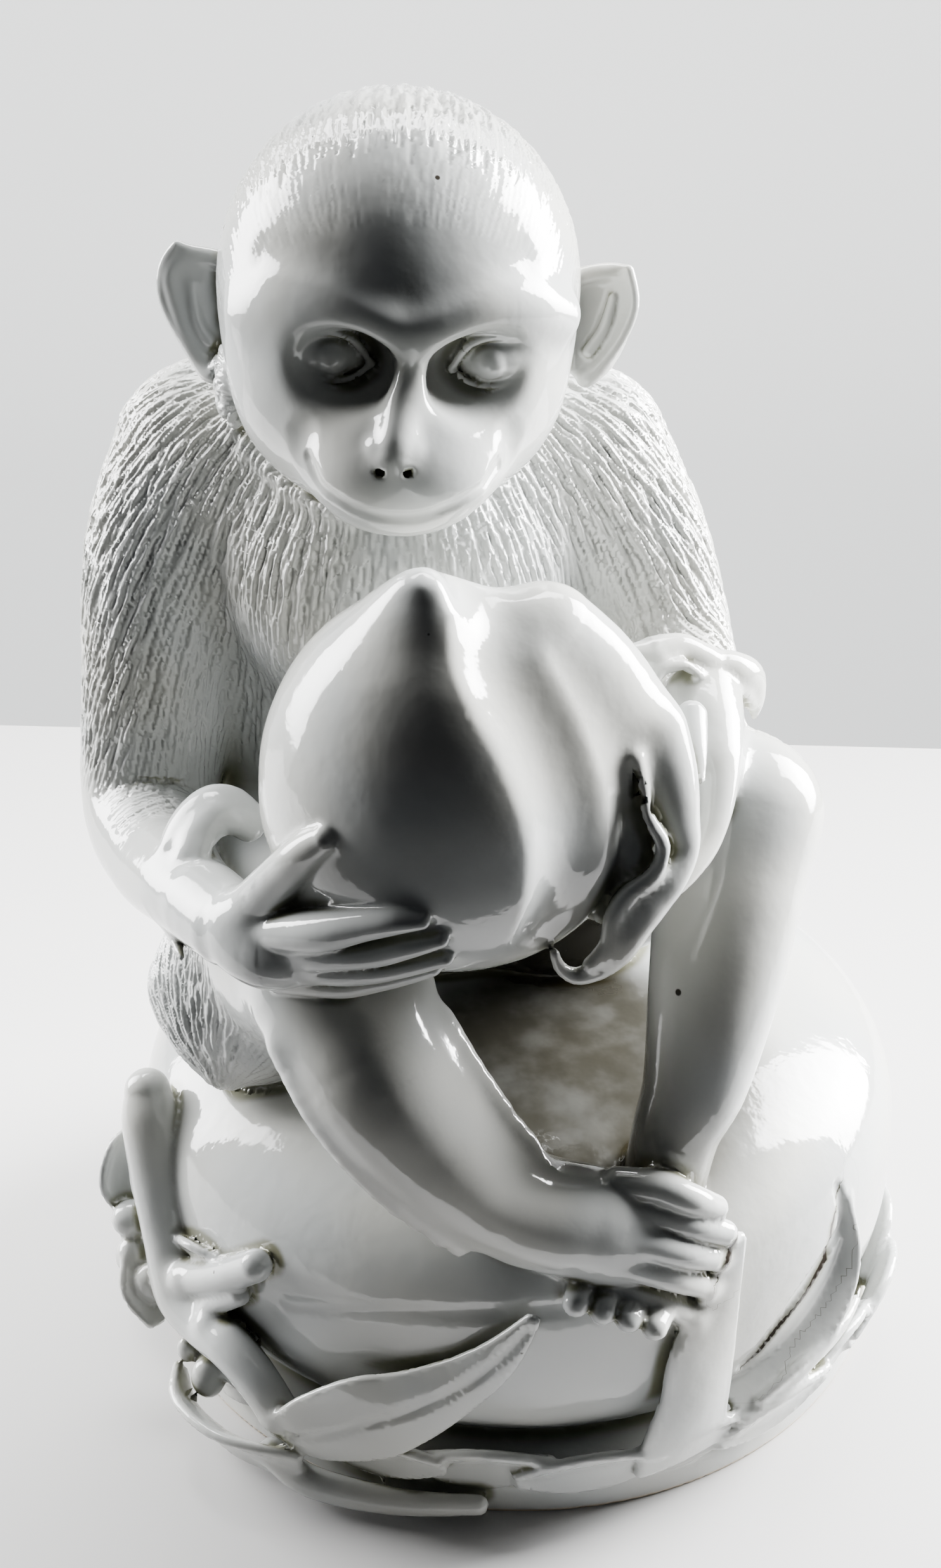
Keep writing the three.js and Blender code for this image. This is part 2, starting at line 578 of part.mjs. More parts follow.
// Leaves that curl over both wrists: a swelling band with a thin lip and a hollow under it
function makeCuffs() {
  const clay = new Clay();
  clay.limb([
    [-85.0, -50.0, 156.1, 1.8], [-81.5, -52.0, 161.8, 3.7], [-78.0, -52.0, 166.5, 4.5],
    [-75.9, -49.0, 169.9, 5.0], [-73.3, -46.0, 172.6, 5.1], [-69.8, -44.0, 174.6, 5.0],
    [-65.8, -43.0, 173.7, 4.9], [-61.8, -44.0, 171.4, 4.0],
  ], 0);
  clay.limb([
    [-82.1, -54.0, 158.5, 1.6], [-77.7, -58.0, 164.0, 2.5], [-74.4, -58.0, 168.4, 3.2],
    [-72.5, -54.0, 171.5, 3.5], [-69.0, -50.0, 174.0, 3.5], [-64.8, -48.0, 173.5, 3.4],
    [-61.5, -47.0, 170.9, 2.8],
  ], 5);
  clay.limb([
    [-83.8, -55.0, 156.7, 1.2], [-79.9, -59.0, 160.9, 1.2], [-75.8, -62.0, 164.9, 1.2],
    [-72.8, -62.0, 167.8, 1.2], [-71.3, -59.0, 170.4, 1.2], [-69.9, -55.0, 172.5, 1.2],
    [-66.9, -52.0, 173.5, 1.2], [-63.4, -51.0, 172.7, 1.2], [-61.1, -50.0, 170.5, 1.2],
  ], 3);
  clay.limb([
    [-83.9, -57.0, 156.9, 1.2], [-82.5, -59.0, 155.4, 1.3], [-80.0, -62.0, 153.8, 1.3],
    [-77.5, -67.0, 152.2, 1.2], [-75.6, -72.0, 151.0, 0.9],
  ], 2);
  clay.ball([-70.3, -57.0, 165.8], [1.8, 3, 1.8], 1, [0, 0, 0], 'cut');
  clay.limb([
    [25.8, -36.0, 210.1, 2.2], [30.7, -34.0, 208.2, 4.5], [34.4, -32.0, 208.5, 4.2],
    [38.7, -30.0, 208.1, 3.8], [43.0, -29.0, 205.0, 4.3], [46.3, -28.0, 202.7, 4.4],
    [51.2, -26.0, 201.0, 4.4], [55.5, -22.0, 197.2, 4.0], [58.0, -18.0, 189.7, 2.4],
    [58.1, -17.0, 184.4, 1.1],
  ], 0);
  clay.limb([
    [31.9, -41.0, 205.5, 1.2], [33.7, -39.0, 207.1, 1.2], [38.2, -37.0, 207.6, 1.2],
    [40.9, -36.0, 205.8, 1.2], [43.3, -35.0, 203.0, 1.2], [45.7, -34.0, 201.1, 1.2],
    [50.1, -31.0, 198.7, 1.2], [53.9, -27.0, 195.6, 1.2], [56.7, -21.0, 189.2, 1.2],
  ], 3);
  clay.limb([
    [33.3, -38.0, 201.1, 1.5], [36.3, -36.0, 203.0, 2.0], [39.8, -34.0, 202.4, 2.2],
    [44.0, -33.0, 199.3, 1.2],
  ], 1, 'cut');
  return clay;
}

function makeHeldPeach() {
  const clay = new Clay();
  clay.turn([
    [0, 0], [13.5, 0.8], [26, 6], [35.8, 16], [41, 30], [41.3, 42], [39, 54], [33.6, 66],
    [26.4, 76], [17, 85], [9.8, 92], [4.8, 96.4], [0, 98.2],
  ], HELD_FOOT, [-5.2, -20.8]);
  // cleft from beside the tip down the front
  clay.press([
    [-8.7, -84.6, 247.6], [-5.9, -87.4, 244.6], [-4.7, -91.6, 241.2], [-3.5, -95.4, 237.2],
    [-1.0, -98.2, 232.5], [2.2, -99.8, 226.9], [5.3, -100.8, 220.6], [8.0, -101.6, 213.6],
    [10.1, -101.9, 206.1], [11.0, -101.9, 197.8], [10.5, -101.6, 187.7], [8.2, -99.1, 176.7],
  ], 12, 4);
  shapePeachLeaf(clay);
  return clay;
}

// The leaf that clasps the right of the held peach: its body, its lifted edge and the gap beside it
function shapePeachLeaf(clay) {
  clay.limb([
    [5.9, -74.0, 232.5, 11.4], [13.0, -74.0, 224.4, 12.3], [18.4, -73.0, 216.1, 12.6],
    [23.0, -72.0, 207.1, 12.3], [27.0, -71.0, 197.2, 10.5],
  ], 9);
  clay.limb([
    [29.7, -76.0, 210.8, 5.8], [32.0, -79.0, 202.4, 6.2], [33.4, -82.0, 194.8, 5.7],
    [35.1, -84.0, 187.3, 4.2], [32.1, -87.0, 181.1, 4.5], [27.1, -89.0, 175.7, 4.8],
  ], 6);
  clay.limb([
    [27.1, -89.0, 175.7, 4.5], [24.6, -91.0, 171.0, 4.2], [22.2, -92.0, 165.8, 3.2],
    [18.4, -92.0, 161.0, 2.1], [13.1, -93.0, 159.8, 1.8], [9.5, -94.0, 162.6, 1.4],
    [8.0, -95.0, 167.2, 1.1],
  ], 2);
  clay.limb([
    [24.6, -87.0, 210.4, 0.7], [25.9, -88.0, 204.3, 1.1], [27.2, -90.0, 198.1, 1.3],
    [30.6, -91.0, 191.3, 1.5], [28.8, -92.0, 185.3, 1.5], [23.3, -93.0, 180.7, 1.5],
    [20.2, -94.0, 175.4, 1.5], [19.2, -94.0, 168.7, 1.4], [15.7, -94.0, 164.0, 1.2],
  ], 4.5);
  clay.limb([
    [24.5, -87.0, 207.7, 0.5], [25.4, -88.0, 202.8, 0.8], [26.4, -89.0, 197.2, 1.1],
    [27.4, -89.0, 191.8, 1.6],
  ], 1.5, 'cut');
  // the leaf's flesh behind the gap, so that the gap stays shallow
  clay.limb([
    [22.4, -84.0, 200.5, 3.4], [23.6, -84.5, 192.5, 4.2], [24.6, -85.0, 185.0, 4.4],
    [22.4, -85.5, 178.5, 4.2], [19.0, -86.0, 172.5, 3.2],
  ], 1.5);
}

function makeLegs() {
  const clay = new Clay();
  // haunch, knee and shin that cross the front
  clay.limb([[-60, 18, 122, 32], [-53, -28, 130, 27], [-40, -68, 141, 20]], 0);
  clay.ball([-63, -20, 110], [27, 30, 25], 8);
  clay.limb([
    [-40, -69, 141.5, 19.5], [-31, -83, 128.5, 18.5], [-19, -88, 112, 16], [-6, -89, 98, 13.8],
    [9, -89, 90, 12.5],
  ], 6);
  // the other leg, upright
  clay.limb([[12, 22, 120, 32], [38, -10, 150, 25], [53, -40, 170.5, 18.5]], 8);
  clay.limb([
    [53, -41, 171, 18], [49.5, -55, 154, 17], [46, -66, 136, 15], [42.5, -73, 118, 12.4],
    [38.5, -75, 105, 10.4], [36, -74, 88, 10],
  ], 6);
  return clay;
}

// A row of pointed locks of fur along an edge, each leaning the same way
function addLocks(clay, edge, lean) {
  for (const row of smoothRows(edge, 2)) {
    const [x, y, z, r] = row;
    clay.limb([[x, y, z, r], [x + lean[0], y + lean[1], z + lean[2], r * 0.4]], 3);
  }
}

// Fur that stands proud: the haunch, the jaw, the whiskers and both edges of the crossed shin
function makeLocks() {
  const clay = new Clay();
  clay.limb([[-79, -24, 111, 12], [-75.1, -32, 102.9, 9.5], [-71.5, -41, 97.1, 5]], 0);
  clay.limb([
    [-64.7, 0.5, 251.8, 1.6], [-60.9, -4.5, 247.4, 1.8], [-56.6, -9, 244.5, 1.8], [-51.6, -13.8, 242, 1.8],
    [-45.9, -19, 240.4, 1.7], [-39, -23.5, 238.8, 1.4],
  ], 1.5);
  clay.ball([-64, -8, 264.4], [4.5, 7.5, 10.5], 3);
  addLocks(clay, [
    [-52.5, -84, 135, 2.4], [-48.9, -88, 128.8, 2.3], [-45.2, -91, 122.2, 2.2], [-40.4, -93, 114.8, 2.1],
    [-34, -95.5, 108.1, 2], [-26.2, -97, 100.6, 2], [-16.1, -96, 91, 1.8],
  ], [3.3, -1.2, -4.9]);
  addLocks(clay, [
    [-17, -78, 137, 3.2], [-12.5, -81, 130.5, 3], [-7.5, -83.5, 123, 3], [-3.2, -84.5, 116.5, 2.8],
    [2.6, -85, 108.5, 2.6],
  ], [3.1, -1, -3.9]);
  return clay;
}

function makeFeet() {
  const clay = new Clay();
  // upper foot: instep and five long toes
  clay.limb([[4, -88, 91, 12.5], [18, -88, 89, 12], [29, -85.5, 84, 9.5]], 0);
  clay.ball([21, -86.5, 83], [17, 11.5, 13.5], 6, [0, 18, 0]);
  const toes = [
    [[24, -87.5, 99, 3.8], [32.9, -88.5, 98.6, 4], [40.7, -89.5, 95.8, 3.8], [47.2, -86, 90.4, 3.2]],
    [[23, -89, 93.5, 3.8], [31.8, -89.5, 92.2, 4], [41.4, -89.7, 88.7, 3.9], [49.7, -86.5, 83.3, 3.2]],
    [[22, -93, 89, 3.8], [30.3, -93.6, 86.6, 4], [39.7, -92.5, 82.6, 3.9], [47.8, -88, 76.9, 3.2]],
    [[21, -94.5, 82.5, 3.8], [29.1, -94.5, 80.1, 4], [38.1, -93, 75.5, 3.8], [45.7, -88.5, 68.8, 3.1]],
    [[20, -92, 74, 3.6], [28.6, -93, 71.2, 3.7], [35.5, -92.5, 67.2, 3.5], [42.8, -89.5, 60.5, 2.9]],
  ];
  for (const toe of toes) {
    clay.limb(toe, 1);
  }
  // lower foot: only its toe tips show
  for (let i = 0; i < 4; i++) {
    clay.limb([
      [18 + i * 6.4, -88, 74 - i * 2.6, 3.6], [14.5 + i * 6.2, -99.5, 73 - i * 2.4, 3.2],
    ], 1.2);
  }
  return clay;
}

function makeFigure() {
  const clay = new Clay();
  clay.join(makeFruitBase(), 0);
  clay.join(makeGarland(), 1.5);
  clay.join(makeFrontLeaves(), 1.5);
  clay.join(makeBlossom(), 1.5);
  clay.join(makeBranch(), 1.5);
  const body = new Clay();
  body.join(makeTorso(), 0);
  body.join(makeArms(), 10);
  body.join(makeLegs(), 5);
  body.join(makeLocks(), 5);
  clay.join(body, 1.5);
  clay.join(makeHead(), 3);
  clay.join(makeEars(), 2);
  clay.join(makeFeet(), 3);
  clay.join(makeHeldPeach(), 1.2);
  clay.join(makeLowerHand(), 1.5);
  clay.join(makeUpperHand(), 1.5);
  clay.join(makeCuffs(), 1.2);
  // the dark slit between the foot and the leaf beside it
  clay.limb([[53.1, -88.5, 83.5, 0.8], [51.5, -89.5, 79.9, 1.4], [49, -91.5, 75.9, 0.8]], 0.8, 'cut');
  // the soft crease round the big peach, and the firing crack at its right
  clay.press([
    [-54.5, -78.7, 54.2], [-37.6, -87.8, 60.7], [-19.3, -93.4, 64.7], [-2.8, -95.4, 66.6],
    [13.2, -95.5, 67.5],
  ], 3.5, 0.8);
  clay.press([
    [81.7, -55.3, 71.5], [83.2, -56.7, 61.7], [78.4, -62.9, 55.8], [69.3, -71.8, 47.3],
    [57.9, -78.3, 34.4],
  ], 2.6, 1.8);
  return clay;
}

// Builds the mesh: the form is sampled on a grid and its surface is cut out cell by cell
const BOX_LOW = [-116, -128, -3.7];
const BOX_HIGH = [118, 116, 336];
const SKIP = 4;

function sampleForm(clay) {
  const size = BOX_LOW.map((v, i) => Math.ceil((BOX_HIGH[i] - v) / GRID_STEP / SKIP) * SKIP + 1);
  const [nx, ny, nz] = size;
  const values = new Float32Array(nx * ny * nz);
  const place = (i, axis) => BOX_LOW[axis] + i * GRID_STEP;
  const form = (x, y, z) => Math.max(clay.value(x, y, z), -z);
  const near = SKIP * GRID_STEP * 2 + 5;
  for (let k = 0; k < nz; k += SKIP) {
    for (let j = 0; j < ny; j += SKIP) {
      for (let i = 0; i < nx; i += SKIP) {
        const half = SKIP / 2;
        const middle = form(place(i + half, 0), place(j + half, 1), place(k + half, 2));
        for (let c = k; c < Math.min(k + SKIP, nz); c++) {
          for (let b = j; b < Math.min(j + SKIP, ny); b++) {
            for (let a = i; a < Math.min(i + SKIP, nx); a++) {
              const d = Math.abs(middle) > near ? middle : form(place(a, 0), place(b, 1), place(c, 2));
              values[(c * ny + b) * nx + a] = Math.abs(d) < 1e-3 ? 1e-3 : d;
            }
          }
        }
      }
    }
  }
  return { size, values };
}

// Six tetrahedra to a cell give a closed surface with no gaps between cells
function cutSurface({ size, values }) {
  const [nx, ny, nz] = size;
  const jump = (c) => (c & 1) + ((c >> 1) & 1) * nx + ((c >> 2) & 1) * nx * ny;
  const tetrahedra = [[0, 1, 3, 7], [0, 3, 2, 7], [0, 2, 6, 7], [0, 6, 4, 7], [0, 4, 5, 7], [0, 5, 1, 7]];
  const points = [];
  const faces = [];
  const known = new Map();
  const position = (n) => [n % nx, Math.floor(n / nx) % ny, Math.floor(n / nx / ny)];
  const crossing = (a, b) => {
    const key = Math.min(a, b) * 8 + (position(a).reduce((s, v, i) => s | ((v !== position(b)[i]) << i), 0));
    let found = known.get(key);
    if (found === undefined) {
      const t = values[a] / (values[a] - values[b]);
      const [p, q] = [position(a), position(b)];
      found = points.length;
      points.push(p.map((v, i) => BOX_LOW[i] + GRID_STEP * (v + t * (q[i] - v))));
      known.set(key, found);
    }
    return found;
  };
  const face = (a, b, c, inside, outside) => {
    const [p, q] = [position(inside), position(outside)];
    const out = q.map((v, i) => v - p[i]);
    const normal = cross(add(points[b], points[a], -1), add(points[c], points[a], -1));
    faces.push(dot(normal, out) > 0 ? [a, b, c] : [a, c, b]);
  };
  for (let k = 0; k + 1 < nz; k++) {
    for (let j = 0; j + 1 < ny; j++) {
      for (let i = 0; i + 1 < nx; i++) {
        const n = (k * ny + j) * nx + i;
        let below = 0;
        for (let c = 0; c < 8; c++) below += values[n + jump(c)] < 0;
        if (below === 0 || below === 8) continue;
        for (const corners of tetrahedra) {
          const all = corners.map((c) => n + jump(c));
          const ins = all.filter((m) => values[m] < 0);
          const outs = all.filter((m) => values[m] >= 0);
          if (ins.length === 1 || ins.length === 3) {
            const [one, three] = ins.length === 1 ? [ins[0], outs] : [outs[0], ins];
            const [a, b, c] = three.map((m) => crossing(one, m));
            face(a, b, c, ins[0], outs[0]);
          } else if (ins.length === 2) {
            const [a, b] = [crossing(ins[0], outs[0]), crossing(ins[0], outs[1])];
            const [c, d] = [crossing(ins[1], outs[1]), crossing(ins[1], outs[0])];
            face(a, b, c, ins[0], outs[0]);
            face(a, c, d, ins[0], outs[0]);
          }
        }
      }
    }
  }
  return { points, faces };
}

// Keeps the largest shell of the surface and drops closed bubbles inside it
function largestShell({ points, faces }) {
  const root = points.map((_, i) => i);
  const find = (i) => {
    while (root[i] !== i) {
      root[i] = root[root[i]];
      i = root[i];
    }
    return i;
  };
  for (const [a, b, c] of faces) {
    root[find(b)] = find(a);
    root[find(c)] = find(a);
  }
  const counts = new Map();
  for (const [a] of faces) counts.set(find(a), (counts.get(find(a)) || 0) + 1);
  const [largest] = [...counts].sort((p, q) => q[1] - p[1])[0];
  return { points, faces: faces.filter(([a]) => find(a) === largest) };
}

// A heap of edges, cheapest first
class EdgeQueue {
  constructor() {
    this.items = [];
  }

  push(item) {
    const list = this.items;
    let i = list.push(item) - 1;
    while (i > 0) {
      const up = (i - 1) >> 1;
      if (list[up].cost <= item.cost) break;
      list[i] = list[up];
      i = up;
    }
    list[i] = item;
  }

  pop() {
    const list = this.items;
    const top = list[0];
    const last = list.pop();
    const n = list.length;
    if (n === 0) return top;
    let i = 0;
    for (;;) {
      let down = 2 * i + 1;
      if (down >= n) break;
      if (down + 1 < n && list[down + 1].cost < list[down].cost) down += 1;
      if (list[down].cost >= last.cost) break;
      list[i] = list[down];
      i = down;
    }
    list[i] = last;
    return top;
  }
}

// The sum of squared distances to the planes round a point, as ten numbers
function planeSum(normal, offset, weight) {
  const row = [...normal, offset];
  const sum = [];
  for (let i = 0; i < 4; i++) for (let j = i; j < 4; j++) sum.push(weight * row[i] * row[j]);
  return sum;
}

function planeError(q, [x, y, z]) {
  return x * (q[0] * x + 2 * (q[1] * y + q[2] * z + q[3])) + y * (q[4] * y + 2 * (q[5] * z + q[6]))
    + z * (q[7] * z + 2 * q[8]) + q[9];
}

function bestPoint(q, a, b) {
  const m = new THREE.Matrix3().set(q[0], q[1], q[2], q[1], q[4], q[5], q[2], q[5], q[7]);
  const middle = a.map((v, i) => (v + b[i]) / 2);
  const size = q[0] + q[4] + q[7];
  if (Math.abs(m.determinant()) < 1e-3 * size ** 3) return middle;
  const best = new THREE.Vector3(-q[3], -q[6], -q[8]).applyMatrix3(m.invert()).toArray();
  const away = Math.hypot(...add(best, middle, -1));
  return away < 2 * Math.hypot(...add(a, b, -1)) ? best : middle;
}

// Merges edges in the order of least change until the wanted number of triangles is left
function simplify({ points, faces }, wanted) {
  const sums = points.map(() => new Float64Array(10));
  const stars = points.map(() => new Set());
  const stamps = new Int32Array(points.length);
  const normalOf = (a, b, c) => cross(add(b, a, -1), add(c, a, -1));
  faces.forEach((f, n) => {
    const [a, b, c] = f.map((v) => points[v]);
    const normal = normalOf(a, b, c);
    const area = Math.hypot(...normal) || 1e-12;
    const flat = normal.map((v) => v / area);
    const sum = planeSum(flat, -dot(flat, a), area * detailAt(a));
    for (const v of f) {
      stars[v].add(n);
      sum.forEach((value, i) => { sums[v][i] += value; });
    }
  });
  const queue = new EdgeQueue();
  const offer = (a, b) => {
    const sum = sums[a].map((v, i) => v + sums[b][i]);
    const point = bestPoint(sum, points[a], points[b]);
    const length = Math.hypot(...add(points[a], points[b], -1));
    const cost = planeError(sum, point) + 1e-3 * length ** 2;
    queue.push({ cost, a, b, stamp: stamps[a] + stamps[b], point });
  };
  const linked = (v) => new Set([...stars[v]].flatMap((n) => faces[n]).filter((w) => w !== v));
  const turns = (v, other, point) => [...stars[v]].some((n) => {
    const f = faces[n];
    if (f.includes(other)) return false;
    const old = f.map((w) => points[w]);
    const now = f.map((w) => (w === v ? point : points[w]));
    const [p, q] = [normalOf(...old), normalOf(...now)];
    const area = Math.hypot(...q);
    if (dot(p, q) < 0.3 * Math.hypot(...p) * area) return true;
    const edges = now.map((w, i) => Math.hypot(...add(now[(i + 1) % 3], w, -1)));
    return area < 0.1 * Math.max(...edges) ** 2 && area < Math.hypot(...p);
  });
  faces.forEach((f) => f.forEach((a, i) => {
    const b = f[(i + 1) % 3];
    if (a < b) offer(a, b);
  }));
  let left = faces.length;
  let refused = [];
  let merged = 0;
  while (left > wanted) {
    if (queue.items.length === 0) {
      if (merged === 0) break;
      refused.forEach(([a, b]) => stamps[a] >= 0 && stamps[b] >= 0 && offer(a, b));
      refused = [];
      merged = 0;
      continue;
    }
    const { a, b, stamp, point } = queue.pop();
    if (stamps[a] < 0 || stamps[b] < 0 || stamps[a] + stamps[b] !== stamp) continue;
    const near = linked(a);
    if (!near.has(b)) continue;
    const shared = [...linked(b)].filter((v) => near.has(v));
    if (shared.length !== 2 || turns(a, b, point) || turns(b, a, point)) {
      refused.push([a, b]);
      continue;
    }
    merged += 1;
    points[a] = point;
    sums[b].forEach((v, i) => { sums[a][i] += v; });
    for (const n of stars[b]) {
      const f = faces[n];
      if (f.includes(a)) {
        f.forEach((v) => stars[v].delete(n));
        faces[n] = null;
        left -= 1;
      } else {
        f[f.indexOf(b)] = a;
        stars[a].add(n);
      }
    }
    stamps[b] = -1;
    stamps[a] += 1;
    for (const v of linked(a)) offer(a, v);
  }
  return { points, faces: faces.filter(Boolean) };
}

// The face and the hands keep more triangles than the plain peach
function detailAt([x, y, z]) {
  const [hx, hy, hz] = HEAD_CENTRE;
  if (Math.hypot(x - hx, y - hy + 35, z - hz + 10) < 38) return 6;
  if (y < -70 && z > 60) return 2;
  return 1;
}

// Moves the middle of the foot to the origin and lays the underside flat
function toGeometry({ points, faces }) {
  const used = new Map();
  const position = [];
  const index = faces.flatMap((f) => f.map((v) => {
    if (!used.has(v)) {
      used.set(v, used.size);
      const [x, y, z] = points[v];
      position.push(x - BASE_CENTRE[0], y - BASE_CENTRE[1], Math.abs(z) < 0.4 ? 0 : z);
    }
    return used.get(v);
  }));
  const geometry = new THREE.BufferGeometry();
  geometry.setAttribute('position', new THREE.Float32BufferAttribute(position, 3));
  geometry.setIndex(index);
  geometry.computeVertexNormals();
  return geometry;
}

const porcelain = new THREE.MeshStandardMaterial({ color: 0xf1f0ea, roughness: 0.12, metalness: 0 });
const figure = new THREE.Group();
const surface = simplify(largestShell(cutSurface(sampleForm(makeFigure()))), TRIANGLE_COUNT);
const monkey = new THREE.Mesh(toGeometry(surface), porcelain);
monkey.name = 'monkey_figure';
figure.add(monkey);
export default figure;
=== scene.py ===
"""Render scene for the porcelain monkey figure. Units in code are millimetres until the mesh is made."""
import math

import bpy
import numpy as np
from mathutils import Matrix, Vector
from mathutils.kdtree import KDTree


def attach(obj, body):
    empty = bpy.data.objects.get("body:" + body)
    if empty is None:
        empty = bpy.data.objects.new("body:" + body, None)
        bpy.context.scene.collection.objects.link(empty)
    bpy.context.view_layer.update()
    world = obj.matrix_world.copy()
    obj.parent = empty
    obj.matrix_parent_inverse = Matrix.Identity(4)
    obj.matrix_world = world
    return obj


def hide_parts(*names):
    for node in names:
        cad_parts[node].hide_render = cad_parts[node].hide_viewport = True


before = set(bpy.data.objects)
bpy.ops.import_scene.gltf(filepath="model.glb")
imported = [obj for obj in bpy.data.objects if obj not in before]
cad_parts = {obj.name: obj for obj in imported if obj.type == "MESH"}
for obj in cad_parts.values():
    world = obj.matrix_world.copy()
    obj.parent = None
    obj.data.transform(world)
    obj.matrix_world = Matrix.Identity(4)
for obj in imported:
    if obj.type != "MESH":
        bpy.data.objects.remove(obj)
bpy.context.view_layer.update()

# Driving dimensions, the same as in the solid
BASE_CENTRE = [3, 5]
RIM_RADIUS = 99
RIM_HEIGHT = 12
FRUIT_RADIUS = 101.5
FRUIT_MIDDLE = 52
FRUIT_HALF_HEIGHT = 48
HEAD_CENTRE = [-26, -6, 286]
HELD_FOOT = [-14.4, -68, 155.7]
LEAF_THICKNESS = 3
FAR = 1000.0

# A step of the clay acts this far beyond its box; nearer than CLOSE a rod is measured to its own curve
MARGIN = 10
CLOSE = 25


def smooth_min(a, b, k):
    if k <= 0:
        return np.minimum(a, b)
    h = np.maximum(1.5 * k - np.abs(a - b), 0) / (1.5 * k)
    return np.minimum(a, b) - h * h * h * k / 4


def smooth_rows(rows, steps):
    """A Catmull-Rom curve through rows of numbers."""
    rows = np.array(rows, float)
    out = []
    last = len(rows) - 1
    for i in range(last):
        a, b, c, d = rows[max(i - 1, 0)], rows[i], rows[i + 1], rows[min(i + 2, last)]
        for s in range(steps):
            t = s / steps
            out.append(b + 0.5 * t * (c - a + t * (2 * a - 5 * b + 4 * c - d + t * (3 * (b - c) + d - a))))
    out.append(rows[last])
    return np.array(out)


def box_of(points, reach):
    points = np.array([p[:3] for p in points], float)
    return points.min(0) - reach, points.max(0) + reach


class Clay:
    """A list of steps that shape the form, each with the box that it acts in."""

    def __init__(self, sculpt=None):
        self.steps = []
        if sculpt is not None:
            sculpt(self)

    def step(self, kind, box, blend, distance):
        reach = 1.5 * blend + MARGIN
        self.steps.append((kind, blend, distance, box[0] - reach, box[1] + reach))
        return self

    def value(self, p):
        d = np.full(p.shape[1], FAR, np.float32)
        first, last = p.min(1), p.max(1)
        for kind, blend, distance, lo, hi in self.steps:
            if (first > hi).any() or (last < lo).any():
                continue
            inside = (p[0] >= lo[0]) & (p[0] <= hi[0])
            inside &= (p[1] >= lo[1]) & (p[1] <= hi[1])
            inside &= (p[2] >= lo[2]) & (p[2] <= hi[2])
            at = np.flatnonzero(inside)
            if at.size == 0:
                continue
            v = distance(p[:, at])
            if kind == "join":
                d[at] = smooth_min(d[at], v, blend)
            elif kind == "cut":
                d[at] = -smooth_min(-d[at], v, blend)
            else:
                d[at] += v
        return d

    def box(self):
        joins = [s for s in self.steps if s[0] == "join"]
        return np.min([s[3] for s in joins], 0), np.max([s[4] for s in joins], 0)

    def join(self, other, blend):
        return self.step("join", other.box(), blend, other.value)

    def ball(self, centre, radii, blend=0, turn=(0, 0, 0), kind="join"):
        return self.step(kind, box_of([centre], max(radii)), blend, ellipsoid(centre, radii, turn))

    def limb(self, stations, blend=0, kind="join"):
        rows = np.array(stations, float)
        return self.step(kind, box_of(rows, rows[:, 3].max()), blend, rod(rows))

    def leaf(self, stations, blend=0, thickness=LEAF_THICKNESS):
        rows = smooth_rows(stations, 5)
        reach = (rows[:, 6] + np.abs(rows[:, 7])).max()
        return self.step("join", box_of(rows, reach), blend, sheet(rows, thickness))

    def turn(self, rows, foot, bend):
        box = box_of([foot, [foot[0], foot[1], foot[2] + rows[-1][1]]], max(r[0] for r in rows))
        return self.step("join", box, 0, turned(rows, foot, bend))

    def press(self, stations, width, depth):
        """Presses the surface in along a line, or lifts it where the depth is below zero."""
        rows = np.array(stations, float)
        line = rod(np.column_stack([rows[:, :3], np.zeros(len(rows))]))

        def bump(p):
            t = np.minimum(line(p) / width, 1)
            return depth * (1 - t * t) ** 2

        return self.step('press', box_of(rows, width - MARGIN / 2), 0, bump)


def ellipsoid(centre, radii, turn):
    ax, ay, az = (math.radians(v) for v in turn)
    rx = np.array([[1, 0, 0], [0, math.cos(ax), -math.sin(ax)], [0, math.sin(ax), math.cos(ax)]])
    ry = np.array([[math.cos(ay), 0, math.sin(ay)], [0, 1, 0], [-math.sin(ay), 0, math.cos(ay)]])
    rz = np.array([[math.cos(az), -math.sin(az), 0], [math.sin(az), math.cos(az), 0], [0, 0, 1]])
    axes = (rx @ ry @ rz).T
    centre = np.array(centre, float)

    def distance(p):
        near = np.zeros(p.shape[1])
        slope = np.zeros(p.shape[1])
        for axis, radius in zip(axes, radii):
            q = axis[0] * (p[0] - centre[0]) + axis[1] * (p[1] - centre[1]) + axis[2] * (p[2] - centre[2])
            q = q / radius
            near += q * q
            slope += (q / radius) ** 2
        k = np.sqrt(near)
        return k * (k - 1) / np.sqrt(np.maximum(slope, 1e-12))

    return distance


def curve_through(rows, count):
    """The cubic between each two rows of a smooth curve, and straight pieces that follow it."""
    last = len(rows) - 1
    curves, pieces = [], []
    for i in range(last):
        a, b, c, d = rows[max(i - 1, 0)], rows[i], rows[i + 1], rows[min(i + 2, last)]
        e, f, g = 0.5 * (c - a), 0.5 * (2 * a - 5 * b + 4 * c - d), 0.5 * (3 * (b - c) + d - a)
        curves.append([b, e, f, g])
        for n in range(count):
            start, end = (b + t * (e + t * (f + t * g)) for t in (n / count, (n + 1) / count))
            pieces.append((i, n / count, start, end - start))
    return np.array(curves), pieces


